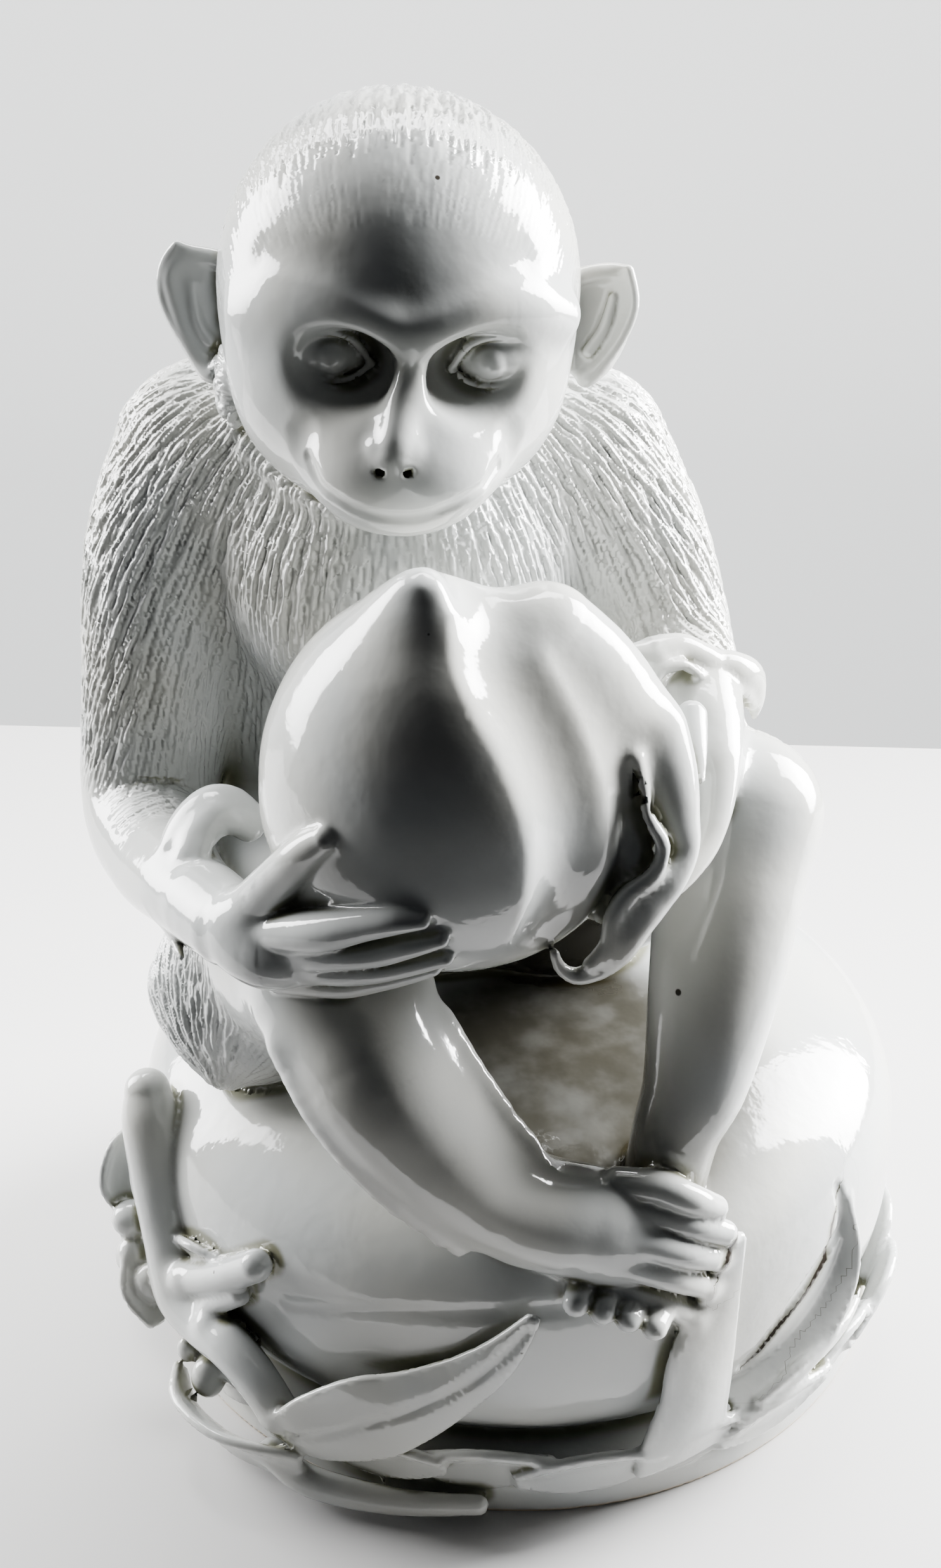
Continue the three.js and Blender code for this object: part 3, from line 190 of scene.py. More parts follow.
def rod(rows):
    """A round rod along a smooth curve through rows of x, y, z and radius."""
    rows = np.array(rows, float)
    last = len(rows) - 1
    count = 3 if last > 1 else 1
    curves, pieces = curve_through(rows, count)

    def distance(p):
        best = np.full(p.shape[1], FAR)
        where = np.zeros(p.shape[1])
        for i, first, a, along in pieces:
            x, y, z = p[0] - a[0], p[1] - a[1], p[2] - a[2]
            t = (x * along[0] + y * along[1] + z * along[2]) / max(along[:3] @ along[:3], 1e-9)
            t = np.clip(t, 0, 1)
            d = np.sqrt((x - along[0] * t) ** 2 + (y - along[1] * t) ** 2 + (z - along[2] * t) ** 2)
            d -= a[3] + along[3] * t
            better = d < best
            best[better] = d[better]
            where[better] = i + first + t[better] / count
        near = np.flatnonzero(best < CLOSE)
        if last == 1 or near.size == 0:
            return best
        q, t = p[:, near], where[near]
        for again in (True, True, False):
            span = np.minimum(t.astype(int), last - 1)
            c = curves[span]
            s = t - span
            gap = [
                c[:, 0, k] + s * (c[:, 1, k] + s * (c[:, 2, k] + s * c[:, 3, k])) - q[k] for k in range(3)
            ]
            if again:
                slope = [c[:, 1, k] + s * (2 * c[:, 2, k] + 3 * s * c[:, 3, k]) for k in range(3)]
                away = gap[0] * slope[0] + gap[1] * slope[1] + gap[2] * slope[2]
                speed = slope[0] ** 2 + slope[1] ** 2 + slope[2] ** 2
                t = np.clip(t - away / np.maximum(speed, 1e-9), 0, last)
        radius = c[:, 0, 3] + s * (c[:, 1, 3] + s * (c[:, 2, 3] + s * c[:, 3, 3]))
        best[near] = np.sqrt(gap[0] ** 2 + gap[1] ** 2 + gap[2] ** 2) - radius
        return best

    return distance


def sheet(rows, thickness):
    """A sheet through rows of centre, direction across, half width and hollow of its section."""
    last = len(rows) - 1
    across, face = [], []
    for i, row in enumerate(rows):
        along = rows[min(i + 1, last), :3] - rows[max(i - 1, 0), :3]
        along /= np.linalg.norm(along)
        side = row[3:6] - along * (row[3:6] @ along)
        across.append(side / np.linalg.norm(side))
        face.append(np.cross(along, across[-1]))

    def distance(p):
        best = np.full(p.shape[1], FAR)
        for i in range(last):
            a, b = rows[i], rows[i + 1]
            along = b[:3] - a[:3]
            turn = across[i + 1] - across[i]
            tilt = face[i + 1] - face[i]
            x, y, z = p[0] - a[0], p[1] - a[1], p[2] - a[2]
            t = np.clip((x * along[0] + y * along[1] + z * along[2]) / (along @ along), 0, 1)
            for again in (True, True, False):
                half = np.maximum(a[6] + (b[6] - a[6]) * t, 0.01)
                sx, sy, sz = (across[i][k] + turn[k] * t for k in range(3))
                rx, ry, rz = x - along[0] * t, y - along[1] * t, z - along[2] * t
                side = np.clip(rx * sx + ry * sy + rz * sz, -half, half)
                if again:
                    lx, ly, lz = (along[k] + turn[k] * side for k in range(3))
                    t = (x - across[i][0] * side) * lx + (y - across[i][1] * side) * ly
                    t = t + (z - across[i][2] * side) * lz
                    t = np.clip(t / (lx * lx + ly * ly + lz * lz), 0, 1)
            lift = (a[7] + (b[7] - a[7]) * t) * (side / half) ** 2
            rx -= sx * side + (face[i][0] + tilt[0] * t) * lift
            ry -= sy * side + (face[i][1] + tilt[1] * t) * lift
            rz -= sz * side + (face[i][2] + tilt[2] * t) * lift
            np.minimum(best, np.sqrt(rx * rx + ry * ry + rz * rz), out=best)
        return best - thickness / 2

    return distance


def bun(centre, radius, half, power):
    """A bun: round in plan, with a profile between an ellipse and a box."""

    def distance(p):
        flat = np.hypot(p[0] - centre[0], p[1] - centre[1]) / radius
        tall = np.abs(p[2] - centre[2]) / half
        k = np.maximum(flat ** power + tall ** power, 1e-9) ** (1 / power)
        scale = k ** (1 - power)
        slope = np.hypot(scale * flat ** (power - 1) / radius, scale * tall ** (power - 1) / half)
        return (k - 1) / np.maximum(slope, 1e-6)

    return distance


def turned(rows, foot, bend):
    """A turned form with a profile through rows of radius and height; its axis bends toward the tip."""
    rows = np.array(rows, float)
    curves, pieces = curve_through(rows, 2)

    def distance(p):
        v = p[2] - foot[2]
        lean = np.clip(v / rows[-1][1], 0, 1.1) ** 3
        u = np.hypot(p[0] - foot[0] - bend[0] * lean, p[1] - foot[1] - bend[1] * lean)
        best = np.full(p.shape[1], FAR * FAR)
        span = np.zeros(p.shape[1], int)
        t = np.zeros(p.shape[1])
        for i, first, a, along in pieces:
            s = np.clip(((u - a[0]) * along[0] + (v - a[1]) * along[1]) / (along @ along), 0, 1)
            d = (u - a[0] - along[0] * s) ** 2 + (v - a[1] - along[1] * s) ** 2
            better = d < best
            best[better] = d[better]
            span[better] = i
            t[better] = first + s[better] / 2
        c = curves[span]
        for again in (True, True, False):
            gap = [
                q - c[:, 0, k] - t * (c[:, 1, k] + t * (c[:, 2, k] + t * c[:, 3, k]))
                for k, q in ((0, u), (1, v))
            ]
            slope = [c[:, 1, k] + t * (2 * c[:, 2, k] + 3 * t * c[:, 3, k]) for k in (0, 1)]
            if again:
                speed = slope[0] ** 2 + slope[1] ** 2
                t = np.clip(t + (gap[0] * slope[0] + gap[1] * slope[1]) / speed, 0, 1)
        return (gap[0] * slope[1] - gap[1] * slope[0]) / np.hypot(slope[0], slope[1])

    return distance


# The forms are those of part.mjs. A helper printed many of their rows, from picks in the photo with a
# guessed depth: the hands, cuffs, clasping leaf, most locks and others that report.md lists.


# The big peach and its low round foot; the flat cut under them is made where the values are taken
def make_fruit_base(clay):
    cx, cy = BASE_CENTRE
    fruit = bun([cx, cy, FRUIT_MIDDLE], FRUIT_RADIUS, FRUIT_HALF_HEIGHT, 3)
    clay.step("join", box_of([[cx, cy, FRUIT_MIDDLE]], FRUIT_RADIUS + 2), 0, fruit)
    foot = bun([cx, cy, 4], RIM_RADIUS, RIM_HEIGHT, 4)
    clay.step("join", box_of([[cx, cy, 4]], RIM_RADIUS + 2), 4, foot)


# A point at a distance from the axis of the big peach; 0 degrees is the front, 90 the right
def around(degrees, radius, z):
    a = math.radians(degrees)
    return [BASE_CENTRE[0] + radius * math.sin(a), BASE_CENTRE[1] - radius * math.cos(a), z]


# A ring of overlapping leaves round the foot
def make_garland(clay):
    count = 24
    first, degrees_apart = -6, 4.8
    radius, every_second_out, height = 99.5, 2, 17
    run_out, rise, lean, hollow = 0.12, 0.25, 0.35, 1.5
    halves = [2, 6, 7.5, 6, 2]
    for i in range(count):
        rows = []
        out = radius + every_second_out * (i % 2)
        for j, half in enumerate(halves):
            turn = (j - 2) * degrees_apart
            way = i * 360 / count + first + turn
            x, y, z = around(way, out + turn * run_out, height + turn * rise)
            nx, ny, up = around(way, 1, 0.94)
            nx, ny = (nx - BASE_CENTRE[0]) * lean, (ny - BASE_CENTRE[1]) * lean
            rows.append([x, y, z, nx, ny, up, half, hollow])
        clay.leaf(rows, 1.5)


# The knotty branch at the front left, with its cut side stubs
def make_branch(clay):
    clay.limb([
        [-93, -29, 82, 6], [-92, -32, 75, 7.8], [-90, -38, 61, 7.6], [-87.5, -45, 47, 7],
        [-84, -53, 36, 7.4], [-77.5, -63, 34, 6.2], [-70.5, -73, 36, 5.8], [-63.4, -80, 32, 5.4],
        [-57.2, -85, 24.5, 5],
    ])
    clay.limb([[-84, -53, 40, 4.6], [-73, -66, 52, 4.4], [-62, -78, 66, 4.2]], 3)
    clay.limb([[-78, -62, 38, 3], [-67, -72.5, 52, 2.8]], 2)
    clay.ball([-94, -37, 59], [3, 3, 3.6], 3)
    clay.ball([-83, -57, 44], [3, 3, 3], 3)
    clay.ball([-76, -68, 39], [3, 3.4, 3], 3)


def make_front_leaves(clay):
    # long pointed leaf across the front
    clay.leaf([
        [-60, -85, 21, -0.5, -0.1, 0.86, 3, 0], [-53, -90.5, 23, -0.45, 0, 0.9, 7.5, -1],
        [-45, -94, 27.5, -0.4, 0.1, 0.9, 9.8, -1.5], [-34.5, -97, 34, -0.42, 0.2, 0.88, 10.6, -1],
        [-24, -98.5, 39.5, -0.4, 0.2, 0.9, 8.6, -1], [-12, -99.5, 48, -0.45, 0.15, 0.88, 6, -1],
        [-3, -100.5, 57.5, -0.5, 0.1, 0.86, 3.8, -0.5], [4.5, -100.5, 69, -0.5, 0, 0.86, 0.8, 0],
    ], 1.5, 2.6)
    clay.press([
        [-60, -86, 21], [-53, -91.5, 23], [-45, -95.2, 27.5], [-34.5, -98.2, 34], [-24, -99.7, 39.5],
        [-12, -100.7, 48], [-3, -101.6, 57.5], [3, -101.6, 66],
    ], 2.4, 0.8)
    # cupped leaf under the branch, with a bud in it
    clay.leaf([
        [-85, -61, 17, -0.3, -0.35, 0.9, 2, 0], [-82, -70, 14, -0.35, -0.45, 0.85, 6, 1],
        [-72, -80, 12.5, -0.3, -0.5, 0.85, 8.4, 1.5], [-61, -86, 12, -0.2, -0.45, 0.88, 8, 1],
        [-53, -89, 11, -0.1, -0.3, 0.95, 5, 0],
    ], 1.5, 2.8)
    clay.ball([-77, -67, 20], [4.5, 4.5, 6], 1.5)
    clay.ball([-82.5, -61, 24], [3, 3, 4], 1.5)
    # twig that lies along the foot
    clay.limb([
        [-60, -83, 10, 3.6], [-52, -88, 6, 4], [-39, -92.5, 5, 3.8], [-24.5, -95.5, 5, 3.2],
        [-8, -97.5, 6.5, 2.6],
    ], 2)
    # broad leaf that stands at the front right
    clay.leaf([
        [43, -90, 16, 0.86, 0.5, 0.05, 12.5, 1], [43.5, -91.5, 24, 0.86, 0.5, 0, 11, 1.5],
        [45.5, -91, 36, 0.86, 0.5, 0, 9, 1.5], [46.5, -90, 50, 0.86, 0.5, 0, 8.2, 1],
        [49.5, -87.5, 62, 0.86, 0.5, 0, 5, 0.5], [53, -84.5, 80, 0.86, 0.5, 0, 1.2, 0],
    ], 1.5, 3)
    # narrow leaves that lean on the big peach at the right
    clay.leaf([
        [56, -81, 24, 0.5, -0.6, -0.6, 4, 0], [68, -73, 31, 0.5, -0.5, -0.7, 5.5, 1],
        [79, -64, 41, 0.5, -0.5, -0.7, 5, 1], [84.5, -57, 52, 0.6, -0.5, -0.6, 3, 0.5],
        [84, -52, 66, 0.6, -0.6, -0.5, 0.8, 0],
    ], 1.5, 2.8)
    clay.leaf([
        [62, -80, 24, 0.3, -0.4, 0.85, 2, 0], [73, -73, 27, 0.3, -0.3, 0.9, 4.6, -1],
        [83, -63, 30, 0.4, -0.3, 0.85, 4.2, -1], [89, -52, 32, 0.5, -0.3, 0.8, 1, 0],
    ], 1.5, 2.6)


# Curled petals and small leaves behind the branch
def make_blossom(clay):
    clay.leaf([
        [-99, -22, 64, -0.8, -0.5, 0, 1, 0], [-102.5, -26, 60, -0.7, -0.6, 0, 4, -1.5],
        [-103.5, -29, 53, -0.7, -0.6, 0, 4.4, -1.5], [-101, -31, 46, -0.8, -0.5, 0, 2, 0],
    ], 1, 2.4)
    clay.ball([-99, -36, 46], [5, 5, 5], 1.5)
    clay.ball([-98.5, -40, 37], [4.6, 5, 5.5], 1.5)
    clay.ball([-93, -46, 33], [5, 4.5, 6], 1.5)
    clay.leaf([
        [-98, -40, 40, -0.6, -0.7, 0.2, 2, 0], [-96, -46, 32, -0.6, -0.7, 0.2, 5, 1],
        [-92, -51, 24, -0.6, -0.7, 0.2, 2, 0],
    ], 1, 2.4)
    clay.leaf([
        [-84, -50, 50, 0, -0.6, 0.8, 1, 0], [-79, -58, 54, 0, -0.6, 0.8, 3.5, 0.5],
        [-73, -64, 56, 0, -0.6, 0.8, 1, 0],
    ], 1, 2.4)


def make_torso(clay):
    clay.ball([-24, 34, 128], [60, 48, 42], 10)
    clay.ball([-27, 26, 185], [54, 42, 55], 20)
    clay.ball([-29, 22, 228], [60, 36, 36], 16)
    clay.ball([-27, -8, 212], [38, 22, 32], 14)
    clay.limb([[-27, 22, 246, 31], [-26, 4, 272, 29]], 14)


def make_head(clay):
    cx, cy, cz = HEAD_CENTRE

    def at(x, y, z, *more):
        return [cx + x, cy + y, cz + z, *more]

    clay.ball(at(0, 0, 2), [40.5, 43, 42], 8)
    clay.ball(at(0, -15, -18), [35, 29, 27], 12)
    # muzzle and lower jaw
    clay.ball(at(1.5, -37, -26.5), [21, 19, 13.5], 9)
    clay.ball(at(1, -37, -33.5), [14.5, 14.5, 7.5], 5)
    # brow bone over both eyes
    clay.limb([
        at(-30, -22, 2, 3.4), at(-23, -30.5, 6.5, 3.6), at(-13, -37, 7, 3.6), at(-4, -40.5, 5, 3.2),
        at(3, -41.5, 3.5, 3), at(11, -40.5, 5, 3.2), at(20, -36.5, 7, 3.6), at(28.5, -30.5, 5.5, 3.6),
        at(35, -22, 1, 3.4),
    ], 9)
    # sockets, then eyeballs, irises and lids in them
    for side in [-1, 1]:
        ex = 3.5 + side * 16.6
        ey = -28.7 + side * 0.8
        ez = -4 - side * 0.9
        clay.ball(at(ex - side * 2.2, ey - 13, ez - 1.6), [12, 10, 8.6], 5, [0, 0, -side * 20], "cut")
        clay.ball(at(ex, ey, ez), [8.8, 8, 6.8], 1.5, [0, 0, -side * 20])
        clay.ball(at(ex, ey - 5, ez - 0.4), [4.3, 4.2, 4.3], 0.4)
        clay.limb([
            at(ex - side * 8.2, ey - 5.4, ez - 2.4, 0.8), at(ex - side * 4.6, ey - 7.4, ez + 3.4, 1),
            at(ex, ey - 7.2, ez + 5.4, 1.1), at(ex + side * 4.8, ey - 5, ez + 4.2, 1),
            at(ex + side * 8.6, ey - 1.6, ez + 0.2, 0.8),
        ], 1)
        clay.limb([
            at(ex - side * 8.2, ey - 5.4, ez - 2.4, 0.7), at(ex - side * 3.4, ey - 6.2, ez - 5.4, 0.8),
            at(ex + side * 2.8, ey - 5.2, ez - 5.4, 0.8), at(ex + side * 8.6, ey - 1.6, ez + 0.2, 0.7),
        ], 1)
    # nose
    clay.limb([
        at(3.6, -37, 3, 2.6), at(3.2, -40, -5, 2.2), at(2, -45, -11, 2.7), at(0.6, -51, -17, 3.4),
        at(0, -52.5, -19.5, 3.2),
    ], 4)
    for x in (-3.6, 3.9):
        clay.ball(at(x, -49.8, -19), [2.1, 3, 2.3], 1.6)
    for x in (-2.6, 2.8):
        clay.ball(at(x, -53.5, -22.5), [1.3, 2, 1], 0.8, kind="cut")
    # smiling mouth, and the folds at both ends of it
    clay.press([
        [-44.6, -49.5, 262], [-43.2, -52.2, 258.6], [-41.1, -54.4, 257.3], [-37.8, -57, 255.9],
        [-34.3, -58.6, 254.4], [-29.4, -60, 253.4], [-24.8, -60.4, 253.1], [-20, -60, 253.4],
        [-15.9, -59, 254.6], [-10.7, -56.8, 256.3], [-7, -53.6, 257.6], [-3.6, -48, 260.5],
    ], 2.6, 1.3)
    clay.press([[-45, -47, 266], [-45.5, -49, 262], [-44, -51, 259]], 6, 0.8)
    clay.press([[-1.5, -44.5, 265], [-2.6, -46, 260.5], [-4.5, -49, 258.5]], 6, 0.8)
    # crease over the brow
    clay.press([
        [-52, -33, 301.5], [-44, -40, 303], [-36, -44, 302], [-28, -47, 298], [-22, -48, 296.5],
        [-14, -46, 299.5], [-6, -42, 302.5], [2, -36, 302],
    ], 6, 0.5)


# Both ears: a thin shell, a rolled rim, and a fold and a hole inside it
def make_ears(clay):
    clay.leaf([
        [-69.5, 4, 290, 0.9, 0.2, -0.1, 7, -1.5], [-71.5, 4, 284, 0.95, 0.2, 0, 8.4, -2.5],
        [-70.5, 3, 276, 0.95, 0.2, 0, 7, -2.2], [-68.5, 1, 266, 0.95, 0.2, 0.1, 3, -1],
    ], 2, 3)
    clay.limb([
        [-63, 3, 288, 2], [-69, 3.5, 290.5, 2], [-75, 4, 290, 1.9], [-78, 4, 286, 1.9],
        [-77, 3.5, 280, 1.9], [-75, 2.5, 273, 2], [-72, 1, 267, 2.2], [-69, -1, 264.5, 2.6],
        [-66.5, -2, 268, 2.2],
    ], 1.5)
    clay.limb([[-73.5, 3, 284, 1], [-72.3, 1.5, 276, 1.3], [-69.5, 0.5, 271.5, 1.4]], 1.2)
    clay.ball([-66.5, 0, 277], [2, 3.5, 3], 1, kind="cut")
    clay.leaf([
        [20, 6, 286, 0.9, -0.1, 0.1, 6, 1.5], [21, 6, 279, 0.95, -0.2, 0, 6.6, 2],
        [19, 4, 271, 0.95, -0.2, 0, 5, 1.6], [16, 1, 264, 0.95, -0.2, -0.1, 2, 0.6],
    ], 2, 3)
    clay.limb([
        [14, 4, 285.5, 2], [20, 5, 286.5, 1.9], [25, 6, 285, 1.9], [26.3, 6, 279, 1.9],
        [24.3, 4, 271.5, 1.9], [21, 2, 266, 2], [16.5, 0, 263, 2.2],
    ], 1.5)
    clay.limb([[22.5, 3.5, 281, 1], [20.5, 2.5, 274, 1.3], [17, 1, 269, 1.4]], 1.2)


def make_arms(clay):
    clay.limb([
        [-72, 24, 232, 27], [-83, 15, 212, 22.5], [-88, 6, 182, 19], [-91, -4, 154, 16.5],
        [-85, -28, 152, 13.6], [-76, -54, 158.5, 10.6], [-64, -76, 162.5, 9.2],
    ])
    clay.limb([
        [14, 24, 231, 27], [28, 14, 213, 22], [38, 2, 196, 16.5], [42, -20, 189.5, 12.8],
        [41, -48, 187, 10.5],
    ])


# The hand under the left of the held peach: a palm, a thumb and four fingers
def make_lower_hand(clay):
    clay.limb([[-70, -66, 161.5, 9.4], [-62, -78, 163, 9.2], [-54, -87, 163, 9], [-46, -91, 164.5, 7]])
    clay.limb([
        [-58.6, -83, 169, 6.4], [-51.6, -91, 182.6, 5], [-44.7, -98.6, 194.2, 4.2],
        [-39.9, -102.8, 200.2, 3],
    ], 6)
    clay.limb([[-47.6, -84, 170.4, 5], [-41.4, -91, 180.4, 5], [-36.3, -95, 186, 4.5]], 3)
    clay.limb([
        [-54.3, -89, 168.7, 4.6], [-46.8, -96, 173.3, 4.7], [-39.9, -101.5, 177.2, 4.5],
        [-32.1, -106, 181.5, 3.7], [-25.4, -109.2, 184.4, 3], [-20.2, -110.3, 185.1, 2],
    ], 1.2)
    clay.limb([
        [-54.1, -86, 161.3, 4.4], [-47.2, -93, 166.4, 4.4], [-40.3, -98, 169.5, 4.2],
        [-30.3, -103, 172.6, 3.3], [-22.8, -106.5, 176.6, 2.8], [-16.3, -108.6, 179.4, 1.9],
    ], 1.2)
    clay.limb([
        [-53, -84, 157.2, 4.2], [-44.8, -91, 161.3, 4], [-37.6, -95.5, 163.3, 3.7],
        [-30.3, -99.5, 166, 3.1], [-23, -102, 168.9, 2.6], [-15.3, -105.5, 172.8, 1.8],
    ], 1.2)
    clay.limb([
        [-52.6, -82, 152.9, 4], [-44.8, -87, 154.7, 3.6], [-37.6, -91, 156.5, 3.2],
        [-30.3, -94.5, 160, 2.8], [-23.2, -97.5, 163.7, 2.4], [-18.1, -100, 166.6, 1.8],
    ], 1.2)


# The hand round the right of the held peach: fingers that narrow downward and a pointed thumb
def make_upper_hand(clay):
    clay.limb([
        [43.7, -32, 195.1, 9.7], [44.5, -42, 192.9, 8.4], [45.3, -51, 190.3, 6.3], [45.4, -58, 186.8, 4.6],
        [44.3, -64, 182.9, 3.7], [41.9, -70, 179, 3.1], [38.3, -76, 176.3, 2.4], [34.4, -81, 174.3, 1.7],
        [31.3, -85, 173.7, 0.8],
    ])
    clay.limb([
        [38.9, -56, 204.2, 3.7], [39.4, -66, 200.8, 2.4], [39.9, -73, 197.5, 1],
    ], 1.5)


# Leaves that curl over both wrists: a swelling band with a thin lip and a hollow under it
def make_cuffs(clay):
    clay.limb([
        [-85, -50, 156.1, 1.8], [-81.5, -52, 161.8, 3.7], [-78, -52, 166.5, 4.5], [-75.9, -49, 169.9, 5],
        [-73.3, -46, 172.6, 5.1], [-69.8, -44, 174.6, 5], [-65.8, -43, 173.7, 4.9], [-61.8, -44, 171.4, 4],
    ])
    clay.limb([
        [-82.1, -54, 158.5, 1.6], [-77.7, -58, 164, 2.5], [-74.4, -58, 168.4, 3.2],
        [-72.5, -54, 171.5, 3.5], [-69, -50, 174, 3.5], [-64.8, -48, 173.5, 3.4], [-61.5, -47, 170.9, 2.8],
    ], 5)
    clay.limb([
        [-83.8, -55, 156.7, 1.2], [-79.9, -59, 160.9, 1.2], [-75.8, -62, 164.9, 1.2],
        [-72.8, -62, 167.8, 1.2], [-71.3, -59, 170.4, 1.2], [-69.9, -55, 172.5, 1.2],
        [-66.9, -52, 173.5, 1.2], [-63.4, -51, 172.7, 1.2], [-61.1, -50, 170.5, 1.2],
    ], 3)
    clay.limb([
        [-83.9, -57, 156.9, 1.2], [-82.5, -59, 155.4, 1.3], [-80, -62, 153.8, 1.3],
        [-77.5, -67, 152.2, 1.2], [-75.6, -72, 151, 0.9],
    ], 2)
    clay.ball([-70.3, -57, 165.8], [1.8, 3, 1.8], 1, kind="cut")
    clay.limb([
        [25.8, -36, 210.1, 2.2], [30.7, -34, 208.2, 4.5], [34.4, -32, 208.5, 4.2], [38.7, -30, 208.1, 3.8],
        [43, -29, 205, 4.3], [46.3, -28, 202.7, 4.4], [51.2, -26, 201, 4.4], [55.5, -22, 197.2, 4],
        [58, -18, 189.7, 2.4], [58.1, -17, 184.4, 1.1],
    ])
    clay.limb([
        [31.9, -41, 205.5, 1.2], [33.7, -39, 207.1, 1.2], [38.2, -37, 207.6, 1.2], [40.9, -36, 205.8, 1.2],
        [43.3, -35, 203, 1.2], [45.7, -34, 201.1, 1.2], [50.1, -31, 198.7, 1.2], [53.9, -27, 195.6, 1.2],
        [56.7, -21, 189.2, 1.2],
    ], 3)
    clay.limb([
        [33.3, -38, 201.1, 1.5], [36.3, -36, 203, 2], [39.8, -34, 202.4, 2.2], [44, -33, 199.3, 1.2],
    ], 1, "cut")


def make_held_peach(clay):
    clay.turn([
        [0, 0], [13.5, 0.8], [26, 6], [35.8, 16], [41, 30], [41.3, 42], [39, 54], [33.6, 66], [26.4, 76],
        [17, 85], [9.8, 92], [4.8, 96.4], [0, 98.2],
    ], HELD_FOOT, [-5.2, -20.8])
    # cleft from beside the tip down the front
    clay.press([
        [-8.7, -84.6, 247.6], [-5.9, -87.4, 244.6], [-4.7, -91.6, 241.2], [-3.5, -95.4, 237.2],
        [-1, -98.2, 232.5], [2.2, -99.8, 226.9], [5.3, -100.8, 220.6], [8, -101.6, 213.6],
        [10.1, -101.9, 206.1], [11, -101.9, 197.8], [10.5, -101.6, 187.7], [8.2, -99.1, 176.7],
    ], 12, 4)
    shape_peach_leaf(clay)


# The leaf that clasps the right of the held peach: its body, its lifted edge and the gap beside it
def shape_peach_leaf(clay):
    clay.limb([
        [5.9, -74, 232.5, 11.4], [13, -74, 224.4, 12.3], [18.4, -73, 216.1, 12.6], [23, -72, 207.1, 12.3],
        [27, -71, 197.2, 10.5],
    ], 9)
    clay.limb([
        [29.7, -76, 210.8, 5.8], [32, -79, 202.4, 6.2], [33.4, -82, 194.8, 5.7], [35.1, -84, 187.3, 4.2],
        [32.1, -87, 181.1, 4.5], [27.1, -89, 175.7, 4.8],
    ], 6)
    clay.limb([
        [27.1, -89, 175.7, 4.5], [24.6, -91, 171, 4.2], [22.2, -92, 165.8, 3.2], [18.4, -92, 161, 2.1],
        [13.1, -93, 159.8, 1.8], [9.5, -94, 162.6, 1.4], [8, -95, 167.2, 1.1],
    ], 2)
    clay.limb([
        [24.6, -87, 210.4, 0.7], [25.9, -88, 204.3, 1.1], [27.2, -90, 198.1, 1.3], [30.6, -91, 191.3, 1.5],
        [28.8, -92, 185.3, 1.5], [23.3, -93, 180.7, 1.5], [20.2, -94, 175.4, 1.5], [19.2, -94, 168.7, 1.4],
        [15.7, -94, 164, 1.2],
    ], 4.5)
    clay.limb([
        [24.5, -87, 207.7, 0.5], [25.4, -88, 202.8, 0.8], [26.4, -89, 197.2, 1.1], [27.4, -89, 191.8, 1.6],
    ], 1.5, "cut")
    # the leaf's flesh behind the gap, so that the gap stays shallow
    clay.limb([
        [22.4, -84, 200.5, 3.4], [23.6, -84.5, 192.5, 4.2], [24.6, -85, 185, 4.4],
        [22.4, -85.5, 178.5, 4.2], [19, -86, 172.5, 3.2],
    ], 1.5)


def make_legs(clay):
    # haunch, knee and shin that cross the front
    clay.limb([[-60, 18, 122, 32], [-53, -28, 130, 27], [-40, -68, 141, 20]])
    clay.ball([-63, -20, 110], [27, 30, 25], 8)
    clay.limb([
        [-40, -69, 141.5, 19.5], [-31, -83, 128.5, 18.5], [-19, -88, 112, 16], [-6, -89, 98, 13.8],
        [9, -89, 90, 12.5],
    ], 6)
    # the other leg, upright
    clay.limb([[12, 22, 120, 32], [38, -10, 150, 25], [53, -40, 170.5, 18.5]], 8)
    clay.limb([
        [53, -41, 171, 18], [49.5, -55, 154, 17], [46, -66, 136, 15], [42.5, -73, 118, 12.4],
        [38.5, -75, 105, 10.4], [36, -74, 88, 10],
    ], 6)


# A row of pointed locks of fur along an edge, each leaning the same way
def add_locks(clay, edge, lean):
    for row in smooth_rows(edge, 2):
        x, y, z, r = row
        clay.limb([[x, y, z, r], [x + lean[0], y + lean[1], z + lean[2], r * 0.4]], 3)


# Fur that stands proud: the haunch, the jaw, the whiskers and both edges of the crossed shin
def make_locks(clay):
    clay.limb([[-79, -24, 111, 12], [-75.1, -32, 102.9, 9.5], [-71.5, -41, 97.1, 5]])
    clay.limb([
        [-64.7, 0.5, 251.8, 1.6], [-60.9, -4.5, 247.4, 1.8], [-56.6, -9, 244.5, 1.8],
        [-51.6, -13.8, 242, 1.8], [-45.9, -19, 240.4, 1.7], [-39, -23.5, 238.8, 1.4],
    ], 1.5)
    clay.ball([-64, -8, 264.4], [4.5, 7.5, 10.5], 3)
    add_locks(clay, [
        [-52.5, -84, 135, 2.4], [-48.9, -88, 128.8, 2.3], [-45.2, -91, 122.2, 2.2],
        [-40.4, -93, 114.8, 2.1], [-34, -95.5, 108.1, 2], [-26.2, -97, 100.6, 2], [-16.1, -96, 91, 1.8],
    ], [3.3, -1.2, -4.9])
    add_locks(clay, [
        [-17, -78, 137, 3.2], [-12.5, -81, 130.5, 3], [-7.5, -83.5, 123, 3], [-3.2, -84.5, 116.5, 2.8],
        [2.6, -85, 108.5, 2.6],
    ], [3.1, -1, -3.9])


